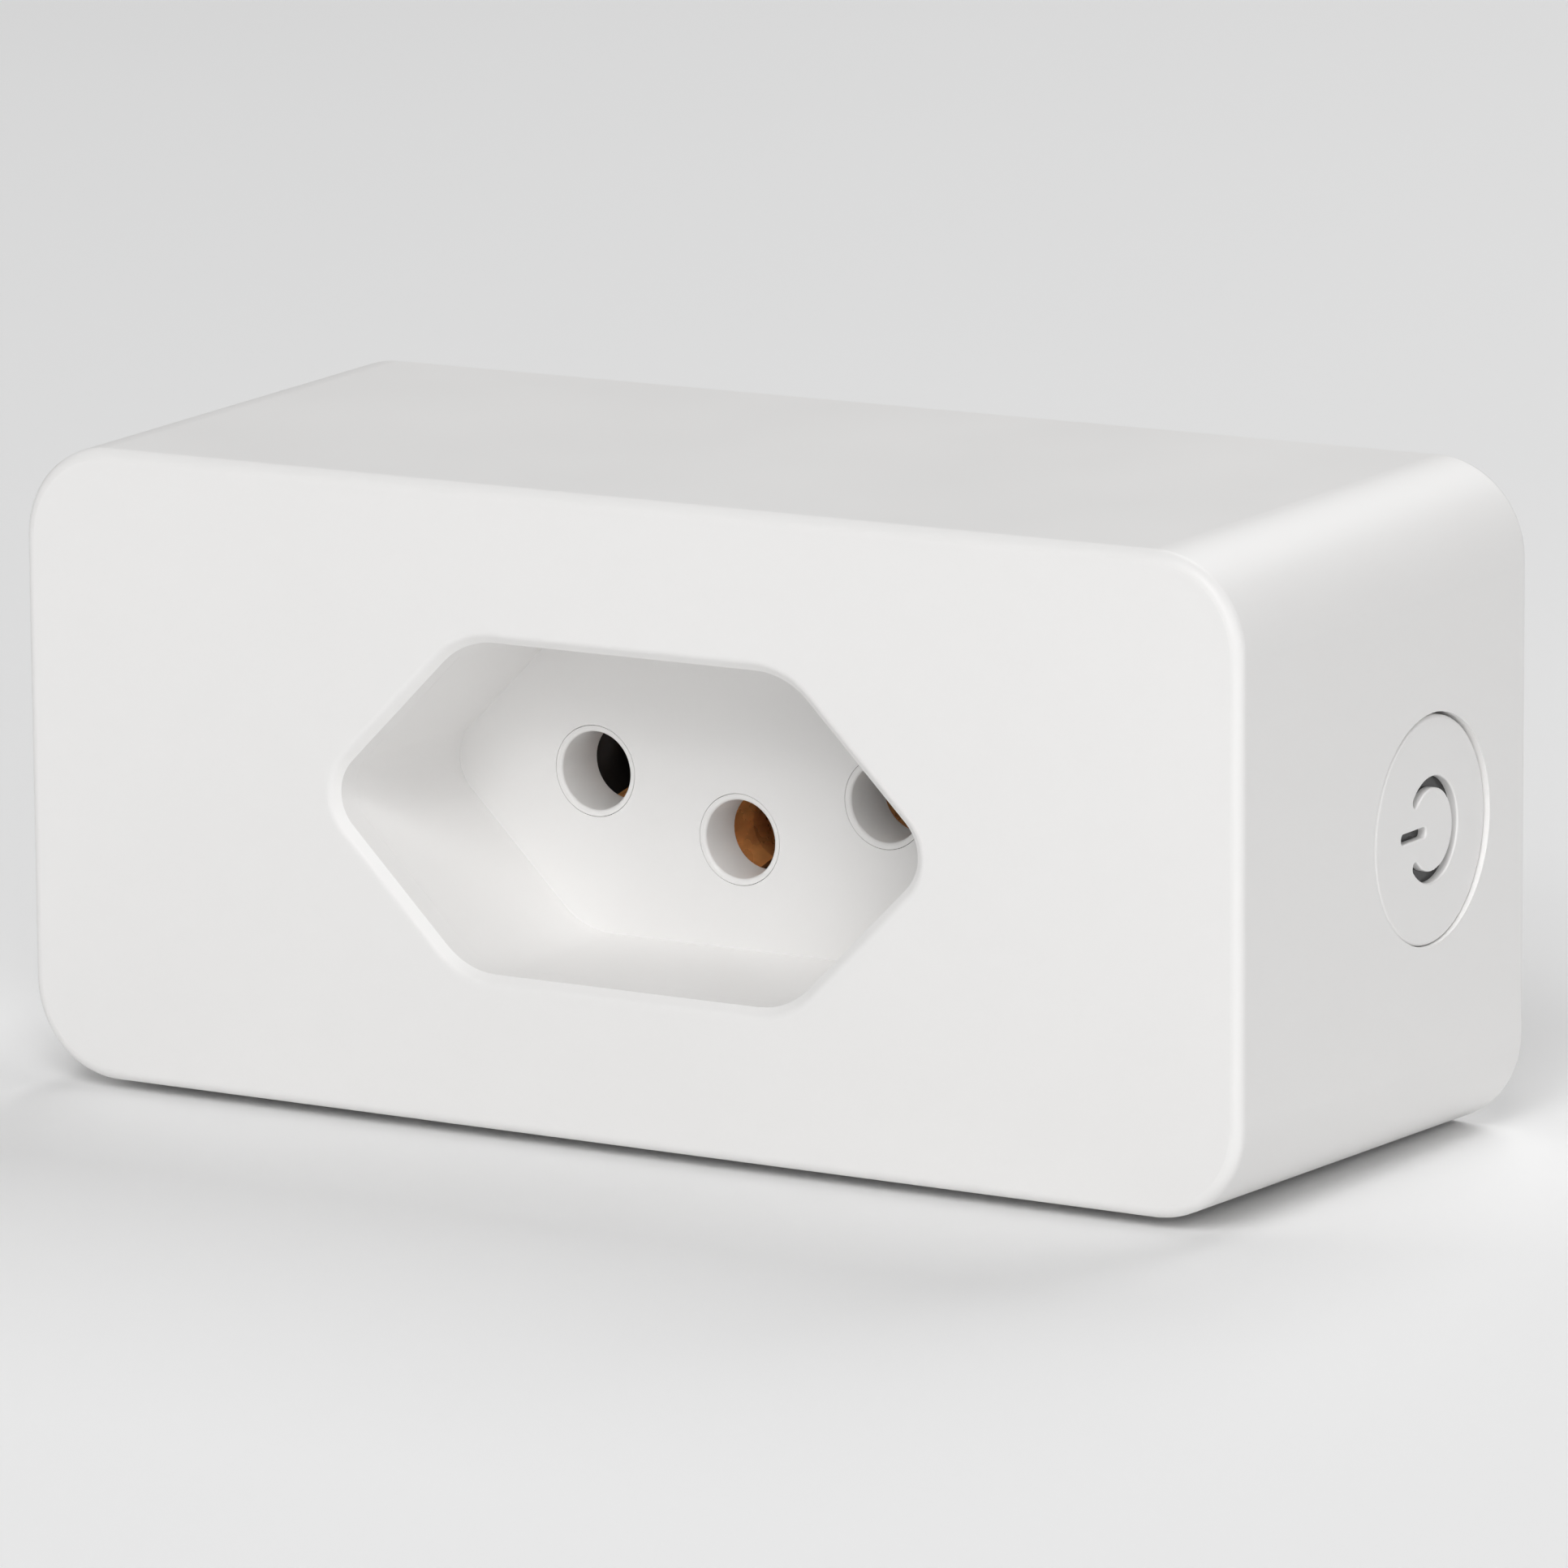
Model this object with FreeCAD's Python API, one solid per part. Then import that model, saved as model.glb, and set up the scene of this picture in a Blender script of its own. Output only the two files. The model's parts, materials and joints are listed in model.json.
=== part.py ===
import FreeCAD, Part
import math
import os

from FreeCAD import Vector

# Smart plug: a three-pole wall plug with a recessed three-pole socket in its front, a push button in
# its right side, and a relay, power supply and radio board inside. All lengths are in millimetres.
#
# +Z is up, +Y runs into the wall that the plug is pushed into, and the socket faces -Y. The origin is
# the centre of the plug's engagement face, midway between its line and neutral pins.

# ---------------------------------------------------------------- driving dimensions

# Round-pin interface, the same on the plug and on the socket
PIN_SPAN = 19.0
EARTH_Z = -3.0
PIN_R = 2.0
PIN_LENGTH = 19.0
PIN_TIP_R = 1.0
LINE_X = PIN_SPAN / 2
POLES = {"line": (LINE_X, 0.0), "neutral": (-LINE_X, 0.0), "earth": (0.0, EARTH_Z)}

# Body
BODY_X = -0.4
BODY_WIDTH = 78.5
BODY_HEIGHT = 36.4
BODY_DEPTH = 31.5
BODY_CORNER_R = 5.45
DRAFT = math.tan(math.radians(1.2))
WALL = 2.0
FRONT_EDGE_R = 0.65
REAR_EDGE_R = 0.3

# Hexagonal plug boss on the rear, and the recess in the front that takes one like it
HEX_TIP_R = 2.6
HEX_FLAT_R = 4.6
BOSS_LENGTH = 12.0
BOSS_HALF_HEIGHT = 8.5
BOSS_HALF_WIDTH = 18.5
BOSS_END_WALL = 3.0
BOSS_EDGE_R = 0.8
RECESS_DEPTH = 12.5
RECESS_HALF_HEIGHT = 9.37
RECESS_HALF_WIDTH = 19.78
RECESS_NARROWING = 0.1
RECESS_LIP = 0.5
RECESS_LIP_R = 0.5
WELL_GAP = 0.015
WELL_FLANGE = (3.5, 1.2)

REAR_Y = -BOSS_LENGTH
FRONT_Y = REAR_Y - BODY_DEPTH
FLOOR_Y = FRONT_Y + RECESS_DEPTH
TUB_REAR_Y = FLOOR_Y + WALL
COVER_Y = REAR_Y - WALL

# Screws that hold the rear cover, one near each corner
SCREW_X = 33.5
SCREW_Z = 13.2
SCREW_SHANK_R = 1.05
SCREW_PILOT_R = 1.1
SCREW_HEAD_R = 2.1
SCREW_HEAD_DEPTH = 1.2
SCREW_END_Y = -26.0
SCREW_BOSS_R = 2.6
SCREW_PLACES = [(BODY_X + sx * SCREW_X, sz * SCREW_Z) for sx in (-1, 1) for sz in (-1, 1)]

# Socket: flush sleeves in the recess floor, and the holder behind them with the contacts' chambers
SLEEVE_BORE_R = 2.25
SLEEVE_R = 2.6
SLEEVE_HOLE_R = 2.63
SLEEVE_EDGE_R = 0.2
SLEEVE_LENGTHS = {"line": 3.7, "neutral": 3.7, "earth": 3.1}
CORE_BOUNDS = (-15.2, 15.2, TUB_REAR_Y + 0.05, FLOOR_Y + 3.7, -8.6, 5.4)
HOLDER_BOUNDS = (-15.2, 15.2, FLOOR_Y + 3.75, -18.6, -8.6, 5.4)
CONTACT_GAP_Y = 0.35
CONTACT_REAR_Y = -18.9
CONTACT_BORE_R = 2.05
CONTACT_R = 2.6
CONTACT_MOUTH_R = 2.5
CONTACT_MOUTH_DEPTH = 1.4
LUG_THICKNESS = 0.8
LUG_HALF_WIDTH = 1.5
CLAMP_R = 3.2
CLAMP_SPAN_Y = (-22.8, -19.8)
RETAINER_Y = (-18.55, -17.4)

# Strip-metal straps between the plug's pins, the contacts and the board
STRAP = 0.8
TAIL_STRAP_Y = (-9.1, -8.3)
BOARD_STRAP_Y = (-15.8, -15.0)
STRAP_TAB_X = (18.2, 19.0)

# Plug pins inside the boss
PIN_NECK_R = 2.4
PIN_FLANGE_R = 2.7
PIN_FLANGE_Y = (-4.6, -3.1)
PIN_TAIL_R = 1.5
PIN_TAIL_Y = -9.6
CARRIER_Y = (-7.6, -3.05)

# Main circuit board, parallel to the rear cover
BOARD_Y = (-17.5, -15.9)
BOARD_HALF_WIDTH = 37.0
BOARD_HALF_HEIGHT = 16.0
BOARD_CORNER_R = 3.0
BOARD_WINDOW = (-17.0, 17.0, -9.8, 9.8)
LEAD_R = 0.3
LEAD_END_Y = -15.0
COMPONENT_Y = BOARD_Y[0] - 0.4
UPPER_Z = 13.0
LOWER_Z = -13.0

# Components on the main board, by the place of their centres along X
BULK_X = (-12.5, -5.5)
BULK_R = 3.0
BULK_LENGTH = 10.0
CHOKE_X = 1.5
VARISTOR_X = 9.5
FUSE_X = (14.6, 22.2)
FILTER_X = -9.5
LEADS = {
    "bulk": [(x + side * 1.25, UPPER_Z) for x in BULK_X for side in (-1, 1)],
    "choke": [(CHOKE_X - 1.5, UPPER_Z), (CHOKE_X + 1.5, UPPER_Z)],
    "varistor": [(VARISTOR_X - 2.5, UPPER_Z), (VARISTOR_X + 2.5, UPPER_Z)],
    "fuse": [(x, UPPER_Z) for x in FUSE_X],
    "filter": [(FILTER_X - 5.0, LOWER_Z), (FILTER_X + 5.0, LOWER_Z)],
}

# Relay, standing on the board in the left compartment; its armature is hinged on the yoke's end
RELAY_X = -28.9
RELAY_HALF_WIDTH = 7.7
RELAY_HALF_LENGTH = 9.5
RELAY_TOP_Y = -33.0
RELAY_WALL = 0.8
RELAY_BASE_Y = (-19.3, -17.8)
COIL_Z = -1.6
POLE_Y = -27.4
YOKE_Z = (-8.3, -7.3)
YOKE_FOOT_Y = (-20.3, -19.4)
ARMATURE_OPEN_DEG = 4.0
ARMATURE_HINGE = Vector(RELAY_X, POLE_Y - 0.05, -8.2)
ARMATURE_Y = (POLE_Y - 1.1, POLE_Y - 0.1)
ARM_Y = (ARMATURE_Y[0] - 0.32, ARMATURE_Y[0] - 0.02)
CONTACT_Z = 7.0
CONTACT_BUTTON_R = 1.1
MAKE_TERMINAL = (RELAY_X - 5.2, RELAY_X - 4.4, POLE_Y, LEAD_END_Y, 7.2, 8.2)
BREAK_TERMINAL = (RELAY_X + 4.4, RELAY_X + 5.2, -31.4, LEAD_END_Y, 7.2, 8.2)
COMMON_TERMINAL = (RELAY_X - 1.0, RELAY_X + 1.0, YOKE_FOOT_Y[1], LEAD_END_Y, -8.2, -7.4)
COIL_PIN_PLACES = [(RELAY_X - 5.6, -5.0), (RELAY_X + 5.6, -5.0)]

# Button in the right side, and the control board with the switch behind it
BUTTON_Y = FRONT_Y + 20.95
BUTTON_HOLE_R = 6.5
BUTTON_R = 6.38
BUTTON_LOW = 0.07
BUTTON_EDGE_R = 0.2
BUTTON_RECESS = 0.13
BUTTON_DISC = 1.3
BUTTON_DEPTH = 2.65
BUTTON_FLANGE_R = 7.1
BUTTON_FLANGE_FRONT = 2.1
ICON_BACK = 0.25
ICON_R = 2.97
ICON_WIDTH = 0.65
ICON_BAR = (0.72, 3.6)
ICON_BAR_WIDTH = 0.6
ICON_EDGE_R = 0.1
ICON_GAP_DEG = 44.0
ICON_DEPTH = 0.5
GUIDE_R = 4.4
GUIDE_SPAN = (1.4, 2.5)
GUIDE_STEM_R = 1.6
PLUNGER_TIP = 5.25
PLUNGER_END = 8.75
PLUNGER_R = 1.7
SWITCH_TOP = 7.75
SWITCH_BASE = 10.25
SWITCH_HALF = 3.0
CONTROL_FACE = 10.3
CONTROL_THICKNESS = 1.2
CONTROL_SPAN_Y = (-39.5, -18.0)
CONTROL_HALF_HEIGHT = 15.4
HEADER_ROWS = [-5.08, -2.54, 0.0, 2.54, 5.08]
HEADER_PIN_Y = -19.0
HEADER_PIN_R = 0.32


def side_x(y):
    """X of the right side's outer face at depth y."""
    return BODY_X + BODY_WIDTH / 2 + DRAFT * (y - FRONT_Y)


BUTTON_FACE_X = side_x(BUTTON_Y) - BUTTON_RECESS


def depth_x(depth):
    """X at a depth behind the button's face."""
    return BUTTON_FACE_X - depth


CONTROL_X = (BUTTON_FACE_X - CONTROL_FACE - CONTROL_THICKNESS, BUTTON_FACE_X - CONTROL_FACE)
HEADER_PIN_X = CONTROL_X[0] - 1.3

# ---------------------------------------------------------------- shape helpers


def block(x0, x1, y0, y1, z0, z1):
    """Box between the given limits."""
    return Part.makeBox(x1 - x0, y1 - y0, z1 - z0, Vector(x0, y0, z0))


def grown(bounds, gap):
    """The limits of a box, moved out by a gap all round."""
    return [value + (gap if i % 2 else -gap) for i, value in enumerate(bounds)]


def rod_y(radius, y0, y1, x, z):
    """Round bar along Y."""
    return Part.makeCylinder(radius, y1 - y0, Vector(x, y0, z), Vector(0, 1, 0))


def rod_x(radius, x0, x1, y, z):
    """Round bar along X."""
    return Part.makeCylinder(radius, x1 - x0, Vector(x0, y, z), Vector(1, 0, 0))


def tube_y(outer_r, inner_r, y0, y1, x, z):
    """Round tube along Y."""
    return rod_y(outer_r, y0, y1, x, z).cut(rod_y(inner_r, y0 - 1, y1 + 1, x, z))


def outline(points, radii, y):
    """Closed outline in the plane at depth y through (x, z) points, with a rounding for each corner."""
    corners = [Vector(x, y, z) for x, z in points]
    bends = []
    for i, (corner, radius) in enumerate(zip(corners, radii)):
        to_last = (corners[i - 1] - corner).normalize()
        to_next = (corners[(i + 1) % len(corners)] - corner).normalize()
        half_angle = to_last.getAngle(to_next) / 2
        reach = radius / math.tan(half_angle)
        inward = (to_last + to_next).normalize()
        middle = corner + inward * (radius / math.sin(half_angle) - radius)
        bends.append((corner + to_last * reach, middle, corner + to_next * reach))
    edges = []
    for i, (start, middle, end) in enumerate(bends):
        edges.append(Part.Arc(start, middle, end).toShape())
        edges.append(Part.LineSegment(end, bends[(i + 1) % len(bends)][0]).toShape())
    return Part.Wire(edges)


def rectangle(half_width, half_height, radius, y, x=0.0):
    """Rounded rectangle at depth y, centred on x."""
    points = [(x + half_width, half_height), (x - half_width, half_height),
              (x - half_width, -half_height), (x + half_width, -half_height)]
    return outline(points, [radius] * 4, y)


def hexagon(half_height, half_width, inset, y):
    """Long hexagon with 45 degree flanks at depth y, moved in all round by an inset."""
    high = half_height - inset
    wide = half_width - inset * math.sqrt(2)
    flat = wide - high
    points = [(wide, 0), (flat, high), (-flat, high), (-wide, 0), (-flat, -high), (flat, -high)]
    radii = [HEX_TIP_R - inset, HEX_FLAT_R - inset, HEX_FLAT_R - inset] * 2
    return outline(points, radii, y)


def between(*sections):
    """Solid between outlines of the same kind at two depths."""
    return Part.makeLoft(list(sections), True, True)


def body_solid(y0, y1, inset):
    """Solid of the body's drafted outline between two depths, moved in by an inset."""
    rings = []
    for y in (y0, y1):
        growth = DRAFT * (y - FRONT_Y)
        wide = BODY_WIDTH / 2 + growth - inset
        high = BODY_HEIGHT / 2 + growth - inset
        signs = [(1, 1), (-1, 1), (-1, -1), (1, -1)]
        rings.append([Vector(BODY_X + sx * wide, y, sz * high) for sx, sz in signs])
    near, far = rings
    loops = [near, far]
    for i in range(4):
        loops.append([near[i], near[i - 1], far[i - 1], far[i]])
    faces = [Part.Face(Part.makePolygon(loop + loop[:1])) for loop in loops]
    shape = Part.makeSolid(Part.makeShell(faces))
    slanted = [e for e in shape.Edges if e.BoundBox.YLength > (y1 - y0) / 2]
    return shape.makeFillet(max(BODY_CORNER_R - inset, 0.6), slanted)


def boss_solid(y0, y1, inset):
    """Solid of the plug boss's outline between two depths."""
    size = (BOSS_HALF_HEIGHT, BOSS_HALF_WIDTH, inset)
    return between(hexagon(*size, y0), hexagon(*size, y1))


def recess_solid(y0, y1, inset0, inset1):
    """Solid of the recess's outline between two depths, with an inset at each."""
    size = (RECESS_HALF_HEIGHT, RECESS_HALF_WIDTH)
    return between(hexagon(*size, inset0, y0), hexagon(*size, inset1, y1))


def edges_at_y(shape, y):
    """Edges that lie wholly in the plane at depth y."""
    return [e for e in shape.Edges if abs(e.BoundBox.YMin - y) < 1e-4 and abs(e.BoundBox.YMax - y) < 1e-4]


def edges_along(shape, axis):
    """Straight edges parallel to an axis."""
    found = []
    for edge in shape.Edges:
        if isinstance(edge.Curve, Part.Line) and abs(edge.Curve.Direction.dot(axis)) > 0.999:
            found.append(edge)
    return found


def soft_block(bounds, radius, axis):
    """Box whose edges along one axis are rounded."""
    shape = block(*bounds)
    return shape.makeFillet(radius, edges_along(shape, axis))


# ---------------------------------------------------------------- casing


def screw_columns(y0, y1, radius):
    """Round columns at the four screw places."""
    return [rod_y(radius, y0, y1, x, z) for x, z in SCREW_PLACES]


def screw_ribs():
    """Ribs that tie the front housing's screw bosses to its top and bottom walls."""
    ribs = []
    for x, z in SCREW_PLACES:
        reach = math.copysign(BODY_HEIGHT / 2 - 0.9, z)
        ribs.append(block(x - 0.6, x + 0.6, FRONT_Y + 1, BOARD_Y[0] - 0.1, min(z, reach), max(z, reach)))
    return ribs


def control_board_rails():
    """Rails on the top and bottom walls that the control board slides between."""
    rails = []
    for x0 in (CONTROL_X[0] - 1.1, CONTROL_X[1] + 0.1):
        for z0, z1 in ((14.4, 17.3), (-17.3, -14.4)):
            rails.append(block(x0, x0 + 1.0, FRONT_Y + 1, CONTROL_SPAN_Y[1] - 1, z0, z1))
    return rails


def front_housing():
    outer = body_solid(FRONT_Y, REAR_Y, 0.0)
    outer = outer.makeFillet(FRONT_EDGE_R, edges_at_y(outer, FRONT_Y))
    outer = outer.makeFillet(REAR_EDGE_R, edges_at_y(outer, REAR_Y))
    columns = screw_columns(FRONT_Y + 1, BOARD_Y[0] - 0.1, SCREW_BOSS_R)
    cavity = body_solid(FRONT_Y + WALL, REAR_Y + 1, WALL)
    cavity = cavity.cut(columns + screw_ribs() + control_board_rails())
    rebate = body_solid(COVER_Y - 0.05, REAR_Y + 1, WALL / 2)
    pilots = screw_columns(SCREW_END_Y - 1, REAR_Y, SCREW_PILOT_R)
    button_hole = rod_x(BUTTON_HOLE_R, CONTROL_X[1], BUTTON_FACE_X + 5, BUTTON_Y, 0)
    mouth = recess_solid(FRONT_Y, FRONT_Y + RECESS_LIP, -RECESS_LIP, 0)
    shape = outer.cut([cavity, rebate, mouth, recess_room(), button_hole] + pilots)
    lip = [e for e in edges_at_y(shape, FRONT_Y) if abs(e.CenterOfMass.x) < RECESS_HALF_WIDTH + 1
           and abs(e.CenterOfMass.z) < RECESS_HALF_HEIGHT + 1]
    return shape.makeFillet(RECESS_LIP_R, lip)


def recess_room():
    """The room of the recess, from the front face to its floor."""
    return recess_solid(FRONT_Y, FLOOR_Y, 0, RECESS_NARROWING)


def socket_well():
    """Tub that continues the front's opening, with a flange behind the front wall and the recess floor."""
    front_y = FRONT_Y + WALL + WELL_GAP
    tub = recess_solid(front_y, TUB_REAR_Y, -WALL, -WALL)
    flange = recess_solid(front_y, front_y + WELL_FLANGE[1], -WELL_FLANGE[0], -WELL_FLANGE[0])
    sleeve_holes = [rod_y(SLEEVE_HOLE_R, FLOOR_Y - 1, TUB_REAR_Y + 1, x, z) for x, z in POLES.values()]
    return tub.fuse(flange).cut([recess_room()] + sleeve_holes)


def rear_cover():
    plate = body_solid(COVER_Y, REAR_Y, WALL / 2 + 0.1)
    boss = boss_solid(COVER_Y, 0, 0)
    boss = boss.makeFillet(BOSS_EDGE_R, edges_at_y(boss, 0))
    columns = screw_columns(BOARD_Y[1] + 0.05, COVER_Y + 0.5, SCREW_BOSS_R)
    posts = []
    for x in (-14.2, 14.2):
        for z in (-6.8, 3.6):
            posts.append(rod_y(1.2, RETAINER_Y[1] + 0.05, COVER_Y + 0.5, x, z))
    hollow = boss_solid(COVER_Y - 1, -BOSS_END_WALL, WALL)
    pin_holes = [rod_y(PIN_NECK_R + 0.05, -BOSS_END_WALL - 1, 1, x, z) for x, z in POLES.values()]
    head_holes = screw_columns(REAR_Y - SCREW_HEAD_DEPTH - 0.2, REAR_Y + 1, SCREW_HEAD_R + 0.2)
    shank_holes = screw_columns(BOARD_Y[1] - 1, REAR_Y, SCREW_SHANK_R + 0.2)
    shape = plate.fuse([boss] + columns + posts)
    return shape.cut([hollow] + pin_holes + head_holes + shank_holes)


def housing_screw(x, z):
    """Pan-head screw with a cross recess, its head to the rear."""
    head_y = REAR_Y - 0.1 - SCREW_HEAD_DEPTH
    head = rod_y(SCREW_HEAD_R, head_y, head_y + SCREW_HEAD_DEPTH, x, z)
    head = head.makeFillet(0.4, edges_at_y(head, head_y + SCREW_HEAD_DEPTH))
    shank = rod_y(SCREW_SHANK_R, SCREW_END_Y, head_y, x, z)
    shank = shank.makeChamfer(0.5, edges_at_y(shank, SCREW_END_Y))
    slots = [block(x - 1.2, x + 1.2, head_y + 0.5, 0, z - 0.25, z + 0.25),
             block(x - 0.25, x + 0.25, head_y + 0.5, 0, z - 1.2, z + 1.2)]
    return head.fuse(shank).cut(slots)


def housing_screws():
    return Part.makeCompound([housing_screw(x, z) for x, z in SCREW_PLACES])


# ---------------------------------------------------------------- socket


def socket_core():
    """White plate behind the recess floor, with three sleeves that end flush with the floor."""
    shape = block(*CORE_BOUNDS)
    shape = shape.makeFillet(1.0, edges_along(shape, Vector(0, 1, 0)))
    shape = shape.fuse([rod_y(SLEEVE_R, FLOOR_Y, CORE_BOUNDS[2] + 0.5, x, z) for x, z in POLES.values()])
    bores = [rod_y(SLEEVE_BORE_R, FLOOR_Y - 1, CORE_BOUNDS[3] + 1, x, z) for x, z in POLES.values()]
    x, z = POLES["earth"]
    bores.append(rod_y(CONTACT_R + 0.3, FLOOR_Y + SLEEVE_LENGTHS["earth"], 0, x, z))
    shape = shape.cut(bores)
    return shape.makeFillet(SLEEVE_EDGE_R, [e for e in edges_at_y(shape, FLOOR_Y)
                                           if abs(e.Curve.Radius - SLEEVE_BORE_R) < 1e-4])


def contact_holder():
    """Dark moulding with one open chamber for each contact."""
    shape = block(*HOLDER_BOUNDS)
    shape = shape.makeFillet(1.0, edges_along(shape, Vector(0, 1, 0)))
    chambers = [block(-LINE_X - 3.6, -4.8, HOLDER_BOUNDS[2] - 1, 0, -4.0, 4.0),
                block(4.8, LINE_X + 3.6, HOLDER_BOUNDS[2] - 1, 0, -4.0, 4.0),
                block(-3.5, 3.5, HOLDER_BOUNDS[2] - 1, 0, EARTH_Z - 3.6, 1.6)]
    return shape.cut(chambers)


def socket_retainer():
    """Plate that closes the contact chambers from behind."""
    x0, x1, _, _, z0, z1 = CORE_BOUNDS
    shape = block(x0, x1, RETAINER_Y[0], RETAINER_Y[1], z0, z1)
    shape = shape.makeFillet(1.0, edges_along(shape, Vector(0, 1, 0)))
    cuts = [rod_y(PIN_R + 0.6, RETAINER_Y[0] - 1, RETAINER_Y[1] + 1, x, z) for x, z in POLES.values()]
    for strap in (line_strap_leg(1), line_strap_leg(-1), earth_strap_leg()):
        cuts.append(block(*grown(strap, 0.15)))
    return shape.cut(cuts)


def clip_contact(pole, open_towards, open_half_deg, lug):
    """Sprung contact around a pin: a tube with a flared mouth, open along one side, and a lug."""
    x, z = POLES[pole]
    front_y = FLOOR_Y + SLEEVE_LENGTHS[pole] + CONTACT_GAP_Y
    tube = rod_y(CONTACT_R, front_y, CONTACT_REAR_Y, x, z)
    flare = Part.makeCone(CONTACT_MOUTH_R, CONTACT_BORE_R, CONTACT_MOUTH_DEPTH,
                          Vector(x, front_y, z), Vector(0, 1, 0))
    bore = rod_y(CONTACT_BORE_R, front_y - 1, CONTACT_REAR_Y + 1, x, z)
    shape = tube.fuse(block(*lug)).cut([flare, bore])
    return shape.cut(wedge_y(x, z, open_towards, open_half_deg, front_y - 1, CONTACT_REAR_Y + 1))


def wedge_y(x, z, towards_deg, half_deg, y0, y1):
    """Wedge along Y that opens from (x, z) towards an angle, counted from +X towards +Z."""
    reach = 6.0
    points = [Vector(x, y0, z)]
    for turn in (-half_deg, 0, half_deg):
        angle = math.radians(towards_deg + turn)
        points.append(Vector(x + reach * math.cos(angle), y0, z + reach * math.sin(angle)))
    face = Part.Face(Part.makePolygon(points + points[:1]))
    return face.extrude(Vector(0, y1 - y0, 0))


def side_contact(side):
    """Line or neutral contact, with its spine and lug on the side nearer the middle."""
    pole = "line" if side > 0 else "neutral"
    inner = side * (LINE_X - CONTACT_R - LUG_THICKNESS)
    outer = side * (LINE_X - CONTACT_BORE_R - 0.2)
    lug = (min(inner, outer), max(inner, outer), -25.0, CONTACT_REAR_Y, -LUG_HALF_WIDTH, LUG_HALF_WIDTH)
    towards = 0 if side > 0 else 180
    return clip_contact(pole, towards, 62, lug)


def line_contact():
    return side_contact(1)


def neutral_contact():
    return side_contact(-1)


def earth_contact():
    top = EARTH_Z + CONTACT_R + LUG_THICKNESS
    lug = (-LUG_HALF_WIDTH, LUG_HALF_WIDTH, -25.0, CONTACT_REAR_Y, EARTH_Z + CONTACT_BORE_R + 0.2, top)
    return clip_contact("earth", 270, 20, lug)


def clamp_spring(pole, open_towards):
    """Steel ring, open over the contact's lug, that squeezes the contact onto the pin."""
    x, z = POLES[pole]
    ring = tube_y(CLAMP_R, CONTACT_R + 0.05, CLAMP_SPAN_Y[0], CLAMP_SPAN_Y[1], x, z)
    return ring.cut(wedge_y(x, z, open_towards, 50, CLAMP_SPAN_Y[0] - 1, CLAMP_SPAN_Y[1] + 1))


def contact_clamp_springs():
    springs = [clamp_spring("line", 180), clamp_spring("neutral", 0), clamp_spring("earth", 90)]
    return Part.makeCompound(springs)


# ---------------------------------------------------------------- plug pins and straps


def plug_pin(pole):
    """Pin with a rounded tip, a collar in the boss's face, a flange in the carrier and a riveted tail."""
    x, z = POLES[pole]
    pin = rod_y(PIN_R, -0.02, PIN_LENGTH, x, z)
    pin = pin.makeFillet(PIN_TIP_R, edges_at_y(pin, PIN_LENGTH))
    neck = rod_y(PIN_NECK_R, PIN_FLANGE_Y[1], -0.02, x, z)
    flange = rod_y(PIN_FLANGE_R, PIN_FLANGE_Y[0], PIN_FLANGE_Y[1], x, z)
    tail = rod_y(PIN_TAIL_R, PIN_TAIL_Y, PIN_FLANGE_Y[0], x, z)
    return pin.fuse([neck, flange, tail])


def line_pin():
    return plug_pin("line")


def neutral_pin():
    return plug_pin("neutral")


def earth_pin():
    return plug_pin("earth")


def pin_carrier():
    """Block inside the boss that holds the pins by their flanges."""
    shape = boss_solid(CARRIER_Y[0], CARRIER_Y[1], WALL + 0.2)
    cuts = []
    for x, z in POLES.values():
        cuts.append(rod_y(PIN_FLANGE_R + 0.1, PIN_FLANGE_Y[0] - 0.05, 0, x, z))
        cuts.append(rod_y(PIN_TAIL_R + 0.08, CARRIER_Y[0] - 1, 0, x, z))
    return shape.cut(cuts)


def line_strap_leg(side):
    """Limits of the strap leg that lies on the lug of the line (1) or neutral (-1) contact."""
    outer = side * (LINE_X - CONTACT_R - LUG_THICKNESS - 0.05)
    inner = outer - side * STRAP
    return (min(inner, outer), max(inner, outer), -23.0, TAIL_STRAP_Y[1], -LUG_HALF_WIDTH, LUG_HALF_WIDTH)


def earth_strap_leg():
    """Limits of the earth strap's leg, on top of the earth contact's lug."""
    low = EARTH_Z + CONTACT_R + LUG_THICKNESS + 0.05
    return (-LUG_HALF_WIDTH, LUG_HALF_WIDTH, -23.0, TAIL_STRAP_Y[1], low, low + STRAP)


def tail_hole(pole):
    """Hole that a strap has for the tail of a plug pin."""
    x, z = POLES[pole]
    return rod_y(PIN_TAIL_R + 0.05, TAIL_STRAP_Y[0] - 1, TAIL_STRAP_Y[1] + 1, x, z)


def neutral_strap():
    leg = line_strap_leg(-1)
    plate = block(-LINE_X - 2.4, leg[1], TAIL_STRAP_Y[0], TAIL_STRAP_Y[1], -2.2, 2.2)
    return block(*leg).fuse(plate).cut(tail_hole("neutral"))


def earth_strap():
    leg = earth_strap_leg()
    plate = block(-2.2, 2.2, TAIL_STRAP_Y[0], TAIL_STRAP_Y[1], EARTH_Z - 2.2, leg[5])
    return block(*leg).fuse(plate).cut(tail_hole("earth"))


def strap_tab(z0, z1):
    """Limits of a strap's tab that is soldered through the board."""
    return (STRAP_TAB_X[0], STRAP_TAB_X[1], BOARD_Y[0] - 0.7, BOARD_STRAP_Y[1], z0, z1)


LINE_IN_TAB = strap_tab(-4.2, -2.6)
LINE_OUT_TAB = strap_tab(5.8, 7.4)


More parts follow.
